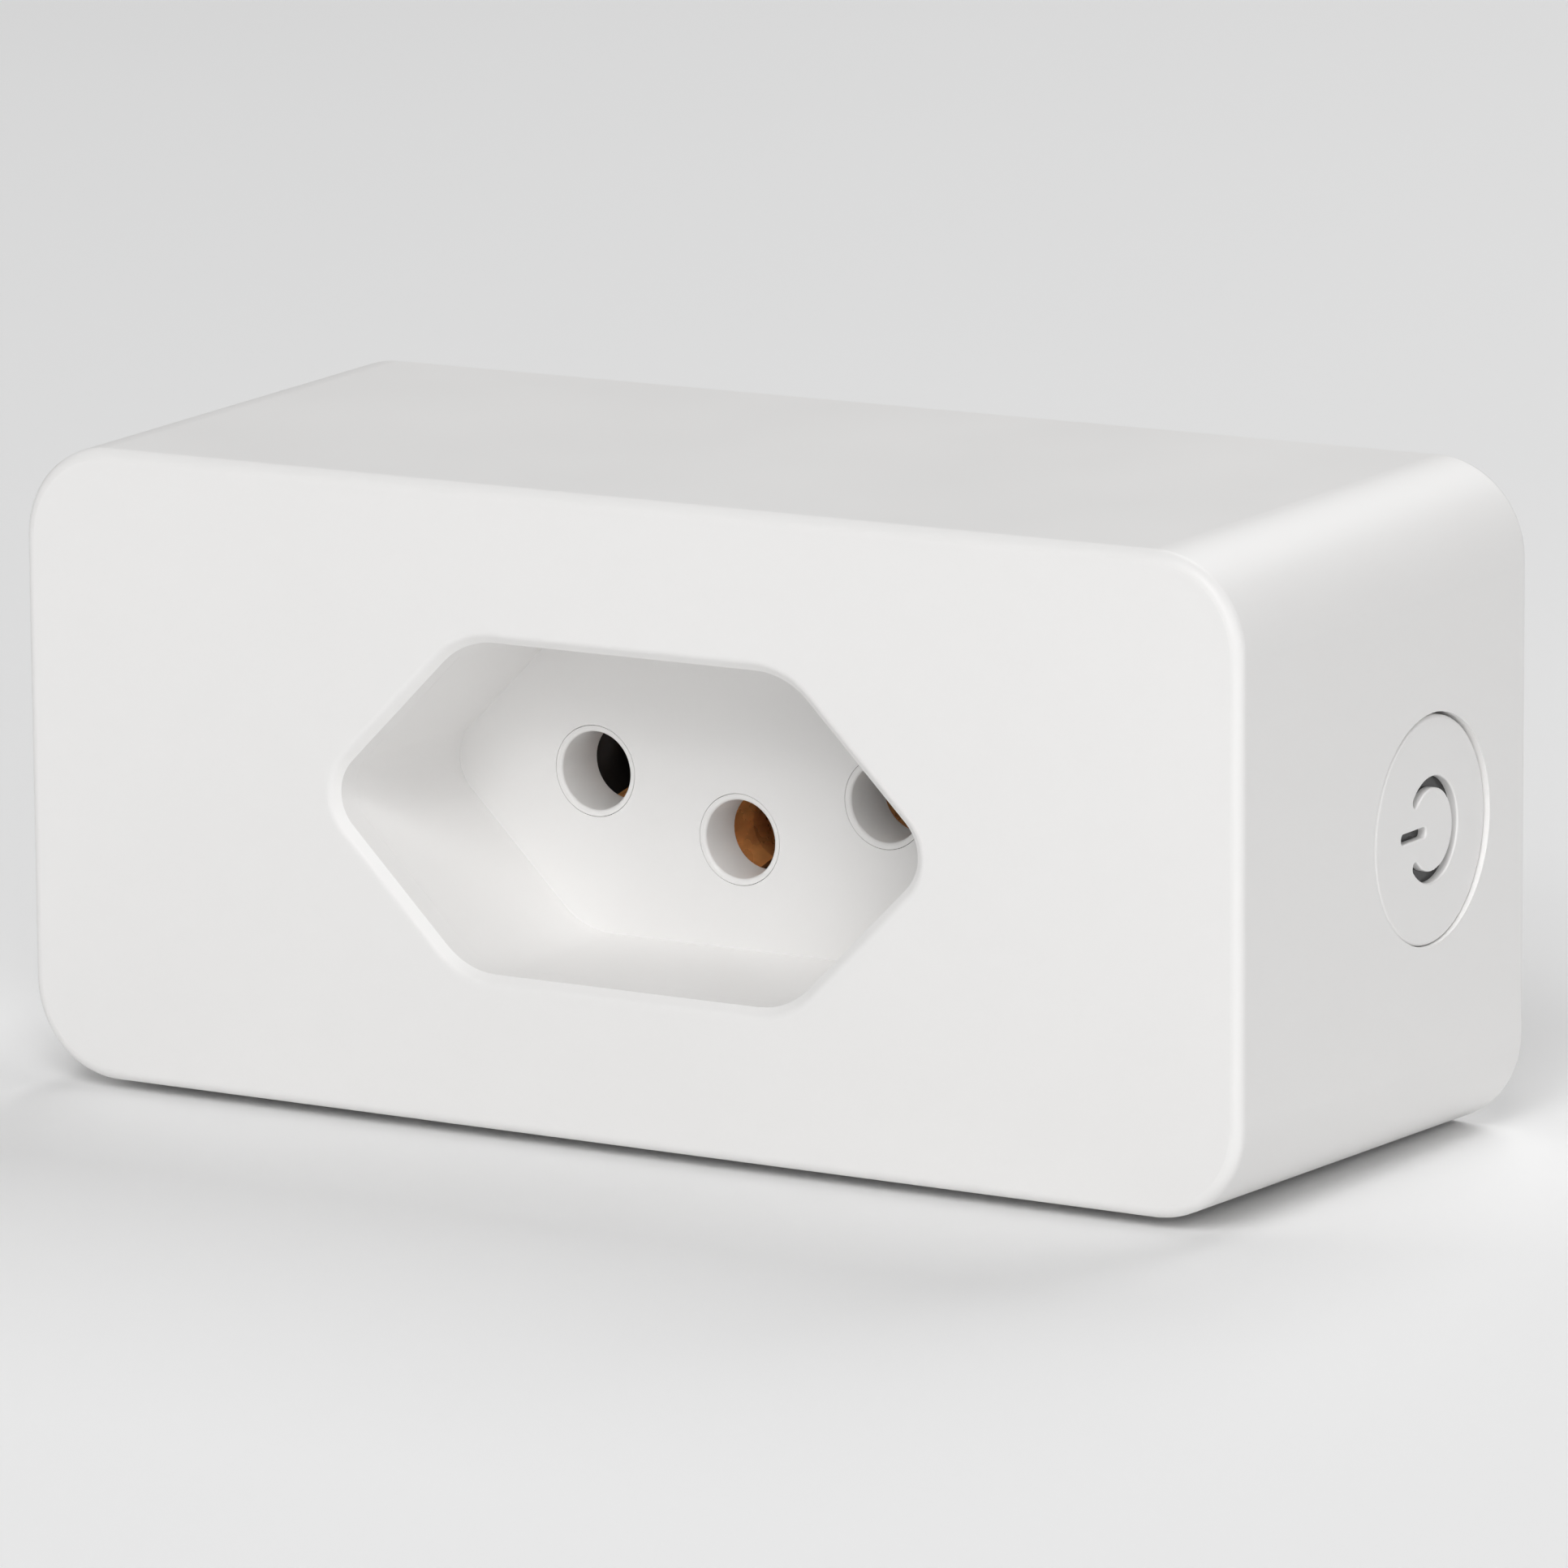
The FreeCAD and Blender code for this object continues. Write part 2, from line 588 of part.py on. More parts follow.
def line_in_strap():
    """Strap from the line pin's tail to the board."""
    plate = block(LINE_X - 2.2, LINE_X + 2.2, TAIL_STRAP_Y[0], TAIL_STRAP_Y[1], -2.2, 2.2)
    neck = block(8.2, 10.8, TAIL_STRAP_Y[0], TAIL_STRAP_Y[1], -4.4, -2.0)
    leg = block(8.2, 10.8, BOARD_STRAP_Y[0], TAIL_STRAP_Y[1], -4.4, -3.6)
    cross = block(8.2, STRAP_TAB_X[1], BOARD_STRAP_Y[0], BOARD_STRAP_Y[1], -4.4, -2.4)
    return plate.fuse([neck, leg, cross, block(*LINE_IN_TAB)]).cut(tail_hole("line"))


def line_out_strap():
    """Strap from the board to the line contact."""
    leg = list(line_strap_leg(1))
    leg[3] = BOARD_STRAP_Y[1]
    riser = block(leg[0], leg[0] + 1.8, BOARD_STRAP_Y[0], BOARD_STRAP_Y[1], -LUG_HALF_WIDTH, 7.6)
    cross = block(leg[0], STRAP_TAB_X[1], BOARD_STRAP_Y[0], BOARD_STRAP_Y[1], 5.6, 7.6)
    return block(*leg).fuse([riser, cross, block(*LINE_OUT_TAB)])


# ---------------------------------------------------------------- main board


def main_board():
    """Board with a window for the socket core, a notch behind the button, and holes for what joins it."""
    size = (BOARD_HALF_WIDTH, BOARD_HALF_HEIGHT, BOARD_CORNER_R)
    shape = between(rectangle(*size, BOARD_Y[0], BODY_X), rectangle(*size, BOARD_Y[1], BODY_X))
    y0 = BOARD_Y[0] - 1
    y1 = BOARD_Y[1] + 1
    window_x0, window_x1, window_z0, window_z1 = BOARD_WINDOW
    cuts = [block(window_x0, window_x1, y0, y1, window_z0, window_z1)]
    cuts.append(block(depth_x(BUTTON_DEPTH + 0.9), depth_x(0), y0, y1, -BUTTON_HOLE_R, BUTTON_HOLE_R))
    cuts += screw_columns(y0, y1, SCREW_SHANK_R + 0.4)
    for bounds in (LINE_IN_TAB, LINE_OUT_TAB, MAKE_TERMINAL, BREAK_TERMINAL, COMMON_TERMINAL):
        cuts.append(block(*grown(bounds, 0.12)))
    for places in LEADS.values():
        cuts += [rod_y(LEAD_R + 0.12, y0, y1, x, z) for x, z in places]
    cuts += [rod_y(LEAD_R + 0.12, y0, y1, x, z) for x, z in COIL_PIN_PLACES]
    cuts += [rod_y(HEADER_PIN_R + 0.12, y0, y1, HEADER_PIN_X, z) for z in HEADER_ROWS]
    return shape.cut(cuts)


def leads(name, y0):
    """Straight leads of a component, from depth y0 through the board."""
    return [rod_y(LEAD_R, y0, LEAD_END_Y, x, z) for x, z in LEADS[name]]


def filter_capacitor():
    """Moulded film capacitor across the mains."""
    bounds = (FILTER_X - 6.5, FILTER_X + 6.5, COMPONENT_Y - 10.0, COMPONENT_Y, LOWER_Z - 2.8, LOWER_Z + 2.8)
    return soft_block(bounds, 0.4, Vector(0, 1, 0)).fuse(leads("filter", COMPONENT_Y - 1))


def bulk_capacitor(x):
    """Electrolytic can with a crimped neck near its base."""
    can = rod_y(BULK_R, COMPONENT_Y - BULK_LENGTH, COMPONENT_Y, x, UPPER_Z)
    can = can.makeFillet(0.5, edges_at_y(can, COMPONENT_Y - BULK_LENGTH))
    neck = Part.makeTorus(BULK_R + 0.25, 0.5, Vector(x, COMPONENT_Y - 1.3, UPPER_Z), Vector(0, 1, 0))
    own_leads = [lead for lead in leads("bulk", COMPONENT_Y - 0.5) if abs(lead.CenterOfMass.x - x) < BULK_R]
    return can.cut(neck).fuse(own_leads)


def bulk_capacitors():
    return Part.makeCompound([bulk_capacitor(x) for x in BULK_X])


def choke_core():
    """Ferrite drum of the supply's choke, on its two leads."""
    drum = rod_y(1.6, COMPONENT_Y - 7.6, COMPONENT_Y, CHOKE_X, UPPER_Z)
    flanges = [rod_y(2.9, COMPONENT_Y - 1.0, COMPONENT_Y, CHOKE_X, UPPER_Z),
               rod_y(2.9, COMPONENT_Y - 7.6, COMPONENT_Y - 6.6, CHOKE_X, UPPER_Z)]
    return drum.fuse(flanges + leads("choke", COMPONENT_Y - 0.5))


def choke_winding():
    return tube_y(2.6, 1.65, COMPONENT_Y - 6.55, COMPONENT_Y - 1.05, CHOKE_X, UPPER_Z)


def surge_varistor():
    """Coated disc on two leads."""
    centre_y = COMPONENT_Y - 4.2
    disc = Part.makeCylinder(3.6, 3.2, Vector(VARISTOR_X, centre_y, UPPER_Z - 1.6), Vector(0, 0, 1))
    disc = disc.makeFillet(0.9, disc.Edges)
    return disc.fuse(leads("varistor", centre_y))


def fuse_resistor():
    """Axial resistor lying along X, its leads bent down into the board."""
    axis_y = COMPONENT_Y - 2.2
    x0, x1 = FUSE_X
    body = rod_x(1.4, x0 + 1.0, x1 - 1.0, axis_y, UPPER_Z)
    body = body.makeFillet(0.5, body.Edges)
    wire = rod_x(LEAD_R, x0, x1, axis_y, UPPER_Z)
    elbows = [Part.makeSphere(LEAD_R, Vector(x, axis_y, UPPER_Z)) for x in FUSE_X]
    return body.fuse([wire] + elbows + leads("fuse", axis_y))


def gull_wing_leg(x, z_inner, side, z_length, board_y, height, towards):
    """Leg of a chip: out of the package, down to the board and out along it. Towards is -1 or 1 in Y."""
    thickness = 0.2
    half = 0.2
    z_bend = z_inner + side * z_length * 0.45
    z_outer = z_inner + side * z_length
    low, high = sorted((board_y, board_y + towards * thickness))
    foot = block(x - half, x + half, low, high, min(z_bend, z_outer), max(z_bend, z_outer))
    low, high = sorted((board_y, board_y + towards * height))
    riser_end = z_bend + side * thickness
    riser = block(x - half, x + half, low, high, min(z_bend, riser_end), max(z_bend, riser_end))
    top_start = board_y + towards * (height - thickness)
    low, high = sorted((top_start, board_y + towards * height))
    shelf_inner = z_inner - side * 0.3
    shelf = block(x - half, x + half, low, high, min(shelf_inner, riser_end), max(shelf_inner, riser_end))
    return foot.fuse([riser, shelf])


def chip(x, z, half_x, half_z, legs_per_side, board_y, towards, thickness=1.4):
    """Moulded chip with legs on its two long sides, standing off the board by a hair."""
    near = board_y + towards * 0.12
    far = board_y + towards * thickness
    low, high = sorted((near, far))
    package = block(x - half_x, x + half_x, low, high, z - half_z, z + half_z)
    package = package.makeChamfer(0.15, edges_at_y(package, far))
    pitch = 2 * half_x / legs_per_side
    shape = package
    for i in range(legs_per_side):
        leg_x = x - half_x + pitch * (i + 0.5)
        for side in (-1, 1):
            edge_z = z + side * half_z
            shape = shape.fuse(gull_wing_leg(leg_x, edge_z, side, 1.0, board_y, 0.75, towards))
    return shape


def bridge_rectifier():
    return chip(2.0, LOWER_Z, 2.4, 1.8, 2, BOARD_Y[0] - 0.05, -1, 2.4)


def supply_chip():
    return chip(9.5, LOWER_Z, 2.5, 1.9, 4, BOARD_Y[0] - 0.05, -1)


def metering_chip():
    return chip(22.3, 0.0, 2.0, 5.0, 4, BOARD_Y[1] + 0.05, 1, 1.5)


def current_shunt():
    """Low-ohm metal strip that arches between two pads."""
    y = BOARD_Y[0] - 0.05
    feet = [block(14.6, 16.2, y - 0.5, y, LOWER_Z - 1.5, LOWER_Z + 1.5),
            block(20.4, 22.0, y - 0.5, y, LOWER_Z - 1.5, LOWER_Z + 1.5)]
    sides = [block(15.7, 16.2, y - 2.5, y, LOWER_Z - 1.5, LOWER_Z + 1.5),
             block(20.4, 20.9, y - 2.5, y, LOWER_Z - 1.5, LOWER_Z + 1.5)]
    bridge = block(15.7, 20.9, y - 2.5, y - 2.0, LOWER_Z - 1.5, LOWER_Z + 1.5)
    return bridge.fuse(sides + feet)


# ---------------------------------------------------------------- relay


def relay_base():
    """Base with holes for the relay's terminals."""
    x0 = RELAY_X - RELAY_HALF_WIDTH + RELAY_WALL + 0.1
    x1 = RELAY_X + RELAY_HALF_WIDTH - RELAY_WALL - 0.1
    z1 = RELAY_HALF_LENGTH - RELAY_WALL - 0.1
    shape = block(x0, x1, RELAY_BASE_Y[0], RELAY_BASE_Y[1], -z1, z1)
    cuts = [block(*grown(bounds, 0.06)) for bounds in (MAKE_TERMINAL, BREAK_TERMINAL, COMMON_TERMINAL)]
    cuts += [rod_y(LEAD_R + 0.06, RELAY_BASE_Y[0] - 1, 0, x, z) for x, z in COIL_PIN_PLACES]
    return shape.cut(cuts)


def relay_cover():
    outer = block(RELAY_X - RELAY_HALF_WIDTH, RELAY_X + RELAY_HALF_WIDTH, RELAY_TOP_Y, RELAY_BASE_Y[1] - 0.1,
                  -RELAY_HALF_LENGTH, RELAY_HALF_LENGTH)
    corners = edges_along(outer, Vector(0, 1, 0)) + edges_at_y(outer, RELAY_TOP_Y)
    outer = outer.makeFillet(0.6, corners)
    inner_half_width = RELAY_HALF_WIDTH - RELAY_WALL
    inner_half_length = RELAY_HALF_LENGTH - RELAY_WALL
    inner = block(RELAY_X - inner_half_width, RELAY_X + inner_half_width, RELAY_TOP_Y + RELAY_WALL, 0,
                  -inner_half_length, inner_half_length)
    return outer.cut(inner)


def relay_bobbin():
    """Coil former with square flanges."""
    low_y = YOKE_FOOT_Y[0] - 0.1
    high_y = POLE_Y + 0.7
    barrel = tube_y(2.3, 1.8, high_y, low_y, RELAY_X, COIL_Z)
    shape = barrel
    for y in (low_y - 0.7, high_y):
        flange = block(RELAY_X - 4.8, RELAY_X + 4.8, y, y + 0.7, COIL_Z - 4.8, COIL_Z + 4.8)
        shape = shape.fuse(flange.cut(rod_y(1.8, y - 1, y + 2, RELAY_X, COIL_Z)))
    return shape


def relay_coil():
    return tube_y(4.5, 2.35, POLE_Y + 1.45, YOKE_FOOT_Y[0] - 0.85, RELAY_X, COIL_Z)


def relay_core():
    """Iron core: a pole head, a shank through the bobbin and a tail riveted into the yoke."""
    head = rod_y(3.4, POLE_Y, POLE_Y + 0.6, RELAY_X, COIL_Z)
    shank = rod_y(1.7, POLE_Y + 0.6, YOKE_FOOT_Y[0] - 0.05, RELAY_X, COIL_Z)
    tail = rod_y(1.2, YOKE_FOOT_Y[0] - 0.05, YOKE_FOOT_Y[1], RELAY_X, COIL_Z)
    return head.fuse([shank, tail])


def relay_yoke():
    """L-shaped iron frame that carries the armature's hinge edge, and the common terminal."""
    foot = block(RELAY_X - 4, RELAY_X + 4, YOKE_FOOT_Y[0], YOKE_FOOT_Y[1], YOKE_Z[0], 3.0)
    leg = block(RELAY_X - 4, RELAY_X + 4, POLE_Y, YOKE_FOOT_Y[1], YOKE_Z[0], YOKE_Z[1])
    hole = rod_y(1.25, YOKE_FOOT_Y[0] - 1, YOKE_FOOT_Y[1] + 1, RELAY_X, COIL_Z)
    return foot.fuse([leg, block(*COMMON_TERMINAL)]).cut(hole)


def opened(shape):
    """A shape drawn with the armature closed, turned about the hinge to its open rest place."""
    shape.rotate(ARMATURE_HINGE, Vector(1, 0, 0), ARMATURE_OPEN_DEG)
    return shape


def relay_armature():
    plate = block(RELAY_X - 4, RELAY_X + 4, ARMATURE_Y[0], ARMATURE_Y[1], ARMATURE_HINGE.z, 2.6)
    return opened(plate)


def relay_contact_arm():
    """Spring arm on the armature that carries the moving contact."""
    arm = block(RELAY_X - 2.2, RELAY_X + 2.2, ARM_Y[0], ARM_Y[1], -5.8, CONTACT_Z + 1.6)
    return opened(arm.cut(rod_y(0.65, ARM_Y[0] - 1, ARM_Y[1] + 1, RELAY_X, CONTACT_Z)))


def relay_moving_contact():
    """Contact rivet through the arm, with a face on each side."""
    faces = [rod_y(CONTACT_BUTTON_R, ARM_Y[0] - 0.5, ARM_Y[0] - 0.02, RELAY_X, CONTACT_Z),
             rod_y(CONTACT_BUTTON_R, ARM_Y[1] + 0.02, ARM_Y[1] + 0.5, RELAY_X, CONTACT_Z)]
    stem = rod_y(0.6, ARM_Y[0] - 0.3, ARM_Y[1] + 0.3, RELAY_X, CONTACT_Z)
    return opened(stem.fuse(faces))


def relay_fixed_contacts():
    """The make and break contacts on their terminals, below and above the moving one."""
    closed_y = ARM_Y[1] + 0.5
    make_x0 = MAKE_TERMINAL[0]
    make = block(make_x0, RELAY_X + 1.4, POLE_Y, POLE_Y + 0.5, 5.8, 8.2)
    make_button = rod_y(CONTACT_BUTTON_R, closed_y + 0.1, POLE_Y + 0.1, RELAY_X, CONTACT_Z)
    break_x1 = BREAK_TERMINAL[1]
    break_y = BREAK_TERMINAL[2]
    break_bar = block(RELAY_X - 1.4, break_x1, break_y, break_y + 0.4, 5.8, 8.2)
    break_button = rod_y(CONTACT_BUTTON_R, break_y + 0.3, break_y + 0.85, RELAY_X, CONTACT_Z)
    return Part.makeCompound([make.fuse([make_button, block(*MAKE_TERMINAL)]),
                              break_bar.fuse([break_button, block(*BREAK_TERMINAL)])])


def relay_hinge_spring():
    """Leaf on the yoke's outer side whose tongue holds the armature's heel."""
    leaf = block(RELAY_X - 1.8, RELAY_X + 1.8, ARMATURE_Y[0] - 0.5, -21.5, -8.62, -8.37)
    tongue = block(RELAY_X - 1.8, RELAY_X + 1.8, ARMATURE_Y[0] - 0.5, ARMATURE_Y[0] - 0.25, -8.62, -6.6)
    return leaf.fuse(tongue)


def relay_coil_terminals():
    return Part.makeCompound([rod_y(LEAD_R, -22.4, LEAD_END_Y, x, z) for x, z in COIL_PIN_PLACES])


# ---------------------------------------------------------------- control board


def button_rod(radius, near, far):
    """Round bar on the button's axis, between two depths behind its face."""
    return rod_x(radius, depth_x(far), depth_x(near), BUTTON_Y, 0)


def control_board():
    y0, y1 = CONTROL_SPAN_Y
    shape = block(CONTROL_X[0], CONTROL_X[1], y0, y1, -CONTROL_HALF_HEIGHT, CONTROL_HALF_HEIGHT)
    holes = []
    for z in HEADER_ROWS:
        holes.append(rod_x(HEADER_PIN_R + 0.1, CONTROL_X[0] - 1, CONTROL_X[1] + 1, HEADER_PIN_Y, z))
    return shape.cut(holes)


def header_pin(z):
    """Square-corner pin from the main board to the control board."""
    upright = rod_y(HEADER_PIN_R, HEADER_PIN_Y, LEAD_END_Y, HEADER_PIN_X, z)
    level = rod_x(HEADER_PIN_R, HEADER_PIN_X, CONTROL_X[1] + 0.5, HEADER_PIN_Y, z)
    elbow = Part.makeSphere(HEADER_PIN_R, Vector(HEADER_PIN_X, HEADER_PIN_Y, z))
    return upright.fuse([level, elbow])


def board_header_pins():
    return Part.makeCompound([header_pin(z) for z in HEADER_ROWS])


def board_header_body():
    shape = block(HEADER_PIN_X - 1.2, CONTROL_X[0] - 0.05, -20.2, BOARD_Y[0] - 0.1, -6.4, 6.4)
    for z in HEADER_ROWS:
        shape = shape.cut([rod_y(HEADER_PIN_R + 0.04, HEADER_PIN_Y, 0, HEADER_PIN_X, z),
                           rod_x(HEADER_PIN_R + 0.04, HEADER_PIN_X, CONTROL_X[1], HEADER_PIN_Y, z),
                           Part.makeSphere(HEADER_PIN_R + 0.04, Vector(HEADER_PIN_X, HEADER_PIN_Y, z))])
    return shape


def radio_module():
    """Small board with castellated edges, mounted flat on the control board."""
    x1 = CONTROL_X[0] - 0.06
    shape = block(x1 - 0.8, x1, -39.0, -23.0, -6.0, 6.0)
    pads = []
    for i in range(8):
        for z in (-6.0, 6.0):
            pads.append(rod_x(0.35, x1 - 2, x1 + 2, -24.5 - 1.4 * i, z))
    return shape.cut(pads)


def radio_shield():
    """Pressed can over the radio chip."""
    x1 = CONTROL_X[0] - 0.06 - 0.8 - 0.04
    bounds = (x1 - 2.0, x1, -33.5, -24.0, -5.2, 5.2)
    outer = soft_block(bounds, 0.5, Vector(1, 0, 0))
    inner = block(bounds[0] + 0.25, x1 + 1, bounds[2] + 0.25, bounds[3] - 0.25, -4.95, 4.95)
    return outer.cut(inner)


def status_leds():
    """Two light-emitting chips beside the switch, facing the light guide."""
    x0 = CONTROL_X[1] + 0.05
    lights = []
    for z in (-4.5, 4.5):
        base = block(x0, x0 + 0.4, BUTTON_Y - 1.0, BUTTON_Y + 1.0, z - 0.6, z + 0.6)
        lens = block(x0 + 0.4, x0 + 0.9, BUTTON_Y - 0.6, BUTTON_Y + 0.6, z - 0.55, z + 0.55)
        lights.append(base.fuse(lens))
    return Part.makeCompound(lights)


# ---------------------------------------------------------------- button and switch


def power_icon(near, far, inset):
    """Bars along X in the form of the power symbol: an open ring with its gap to the front, and a stroke.

    They reach between two depths behind the button's face, and an inset makes every line thinner.
    """
    x0 = depth_x(far)
    x1 = depth_x(near)
    centre_y = BUTTON_Y + ICON_BACK
    line = ICON_WIDTH / 2 - inset
    middle_r = ICON_R - ICON_WIDTH / 2
    ring = rod_x(middle_r + line, x0, x1, centre_y, -BUTTON_LOW)
    ring = ring.cut(rod_x(middle_r - line, x0 - 1, x1 + 1, centre_y, -BUTTON_LOW))
    reach = 6.0
    half = math.radians(ICON_GAP_DEG)
    tip_y = centre_y - reach * math.cos(half)
    tip_z = reach * math.sin(half)
    corners = [Vector(x0, centre_y, -BUTTON_LOW), Vector(x0, tip_y, tip_z - BUTTON_LOW),
               Vector(x0, tip_y, -tip_z - BUTTON_LOW)]
    gap = Part.Face(Part.makePolygon(corners + corners[:1])).extrude(Vector(x1 - x0, 0, 0))
    end_y = centre_y - middle_r * math.cos(half)
    end_z = middle_r * math.sin(half)
    ends = [rod_x(line, x0, x1, end_y, side * end_z - BUTTON_LOW) for side in (-1, 1)]
    arc = ring.cut(gap).fuse(ends).removeSplitter()
    half_bar = ICON_BAR_WIDTH / 2 - inset
    bar = block(x0, x1, centre_y - ICON_BAR[1] + inset, centre_y - ICON_BAR[0] - inset,
                -BUTTON_LOW - half_bar, -BUTTON_LOW + half_bar)
    bar = bar.makeFillet(half_bar - 0.02, edges_along(bar, Vector(1, 0, 0)))
    return [arc, bar]


def button_cap():
    """Round cap with a retaining flange behind the wall and the power symbol cut through its face."""
    disc = button_rod(BUTTON_R, 0, BUTTON_DEPTH)
    flange = button_rod(BUTTON_FLANGE_R, BUTTON_FLANGE_FRONT, BUTTON_DEPTH)
    pocket = button_rod(GUIDE_R + 0.05, BUTTON_DISC, BUTTON_DEPTH + 1)
    shape = disc.fuse(flange)
    shape.translate(Vector(0, 0, -BUTTON_LOW))
    shape = shape.cut([pocket] + power_icon(-1.0, BUTTON_DISC + 1.0, 0.0))
    front_edges = [e for e in shape.Edges if e.BoundBox.XMin > depth_x(0.01)]
    rim = [e for e in front_edges if e.BoundBox.ZLength > BUTTON_R]
    symbol = [e for e in front_edges if e.BoundBox.ZLength <= BUTTON_R]
    return shape.makeFillet(BUTTON_EDGE_R, rim).makeFillet(ICON_EDGE_R, symbol)


def light_guide():
    """Smoked disc that fills the symbol from behind, with a stem that pushes the switch."""
    disc = button_rod(GUIDE_R, GUIDE_SPAN[0], GUIDE_SPAN[1])
    disc = disc.fuse(power_icon(ICON_DEPTH, GUIDE_SPAN[0] + 0.1, 0.02))
    stem = button_rod(GUIDE_STEM_R, GUIDE_SPAN[1], PLUNGER_TIP - 0.05)
    return disc.fuse(stem)


def tact_switch_body():
    """Square switch base with a round well for the dome and plunger."""
    bounds = (depth_x(SWITCH_BASE), depth_x(SWITCH_TOP), BUTTON_Y - SWITCH_HALF, BUTTON_Y + SWITCH_HALF,
              -SWITCH_HALF, SWITCH_HALF)
    well = button_rod(2.15, SWITCH_TOP - 1, SWITCH_BASE - 0.6)
    return soft_block(bounds, 0.4, Vector(1, 0, 0)).cut(well)


def tact_switch_cover():
    """Thin steel plate over the switch, with two tabs folded down its sides."""
    near = SWITCH_TOP - 0.25
    face = SWITCH_TOP - 0.02
    plate = block(depth_x(face), depth_x(near), BUTTON_Y - 2.9, BUTTON_Y + 2.9, -2.9, 2.9)
    tabs = []
    for side in (-1, 1):
        y0, y1 = sorted((BUTTON_Y + side * (SWITCH_HALF + 0.03), BUTTON_Y + side * (SWITCH_HALF + 0.23)))
        tabs.append(block(depth_x(SWITCH_TOP + 1.2), depth_x(near), y0, y1, -1.2, 1.2))
        y0, y1 = sorted((BUTTON_Y + side * 2.8, BUTTON_Y + side * (SWITCH_HALF + 0.23)))
        tabs.append(block(depth_x(face), depth_x(near), y0, y1, -1.2, 1.2))
    return plate.fuse(tabs).cut(button_rod(PLUNGER_R + 0.1, 0, SWITCH_BASE))


def tact_switch_plunger():
    """Round plunger, kept in the switch by a flange under the cover."""
    stem = button_rod(PLUNGER_R, PLUNGER_TIP, PLUNGER_END)
    stem = stem.makeFillet(0.2, [e for e in stem.Edges if e.CenterOfMass.x > depth_x(PLUNGER_TIP + 0.01)])
    return stem.fuse(button_rod(PLUNGER_R + 0.3, SWITCH_TOP + 0.1, SWITCH_TOP + 0.6))


def tact_switch_dome():
    """Sprung metal dome at the bottom of the well."""
    rim_depth = SWITCH_BASE - 0.65
    rise = 0.4
    rim_r = 2.0
    ball_r = (rim_r ** 2 + rise ** 2) / (2 * rise)
    centre = Vector(depth_x(rim_depth) + rise - ball_r, BUTTON_Y, 0)
    shell = Part.makeSphere(ball_r, centre).cut(Part.makeSphere(ball_r - 0.1, centre))
    return shell.common(button_rod(rim_r, 0, rim_depth))


def tact_switch_legs():
    """Four bent legs from the switch's sides to the board."""
    legs = []
    for y in (BUTTON_Y - 2.25, BUTTON_Y + 2.25):
        for side in (-1, 1):
            out = sorted((side * (SWITCH_HALF + 0.04), side * (SWITCH_HALF + 0.24)))
            foot = sorted((side * (SWITCH_HALF + 0.04), side * (SWITCH_HALF + 1.2)))
            upright = block(depth_x(CONTROL_FACE - 0.02), depth_x(9.2), y - 0.35, y + 0.35, out[0], out[1])
            base = block(depth_x(CONTROL_FACE - 0.02), depth_x(CONTROL_FACE - 0.22), y - 0.35, y + 0.35,
                         foot[0], foot[1])
            legs.append(upright.fuse(base))
    return Part.makeCompound(legs)


# ---------------------------------------------------------------- writing the pieces

PIECES = [
    front_housing, socket_well, rear_cover, housing_screws,
    socket_core, contact_holder, socket_retainer,
    line_contact, neutral_contact, earth_contact, contact_clamp_springs,
    line_pin, neutral_pin, earth_pin, pin_carrier,
    neutral_strap, earth_strap, line_in_strap, line_out_strap,
    main_board, filter_capacitor, bulk_capacitors, choke_core, choke_winding, surge_varistor, fuse_resistor,
    bridge_rectifier, supply_chip, metering_chip, current_shunt,
    relay_base, relay_cover, relay_bobbin, relay_coil, relay_core, relay_yoke, relay_armature,
    relay_contact_arm, relay_moving_contact, relay_fixed_contacts, relay_hinge_spring, relay_coil_terminals,
    control_board, board_header_pins, board_header_body, radio_module, radio_shield, status_leds,
    button_cap, light_guide, tact_switch_body, tact_switch_cover, tact_switch_plunger, tact_switch_dome,
    tact_switch_legs,
]

os.makedirs("parts", exist_ok=True)
for piece in PIECES:
    shape = piece()
    if not shape.isValid() or not shape.Solids:
        raise ValueError(piece.__name__ + " isn't a valid solid")
    shape.exportStep("parts/" + piece.__name__ + ".step")
    print(piece.__name__, len(shape.Solids), round(shape.Volume, 1))
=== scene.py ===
import json
import math
import random

import bmesh
import bpy
from mathutils import Matrix, Vector


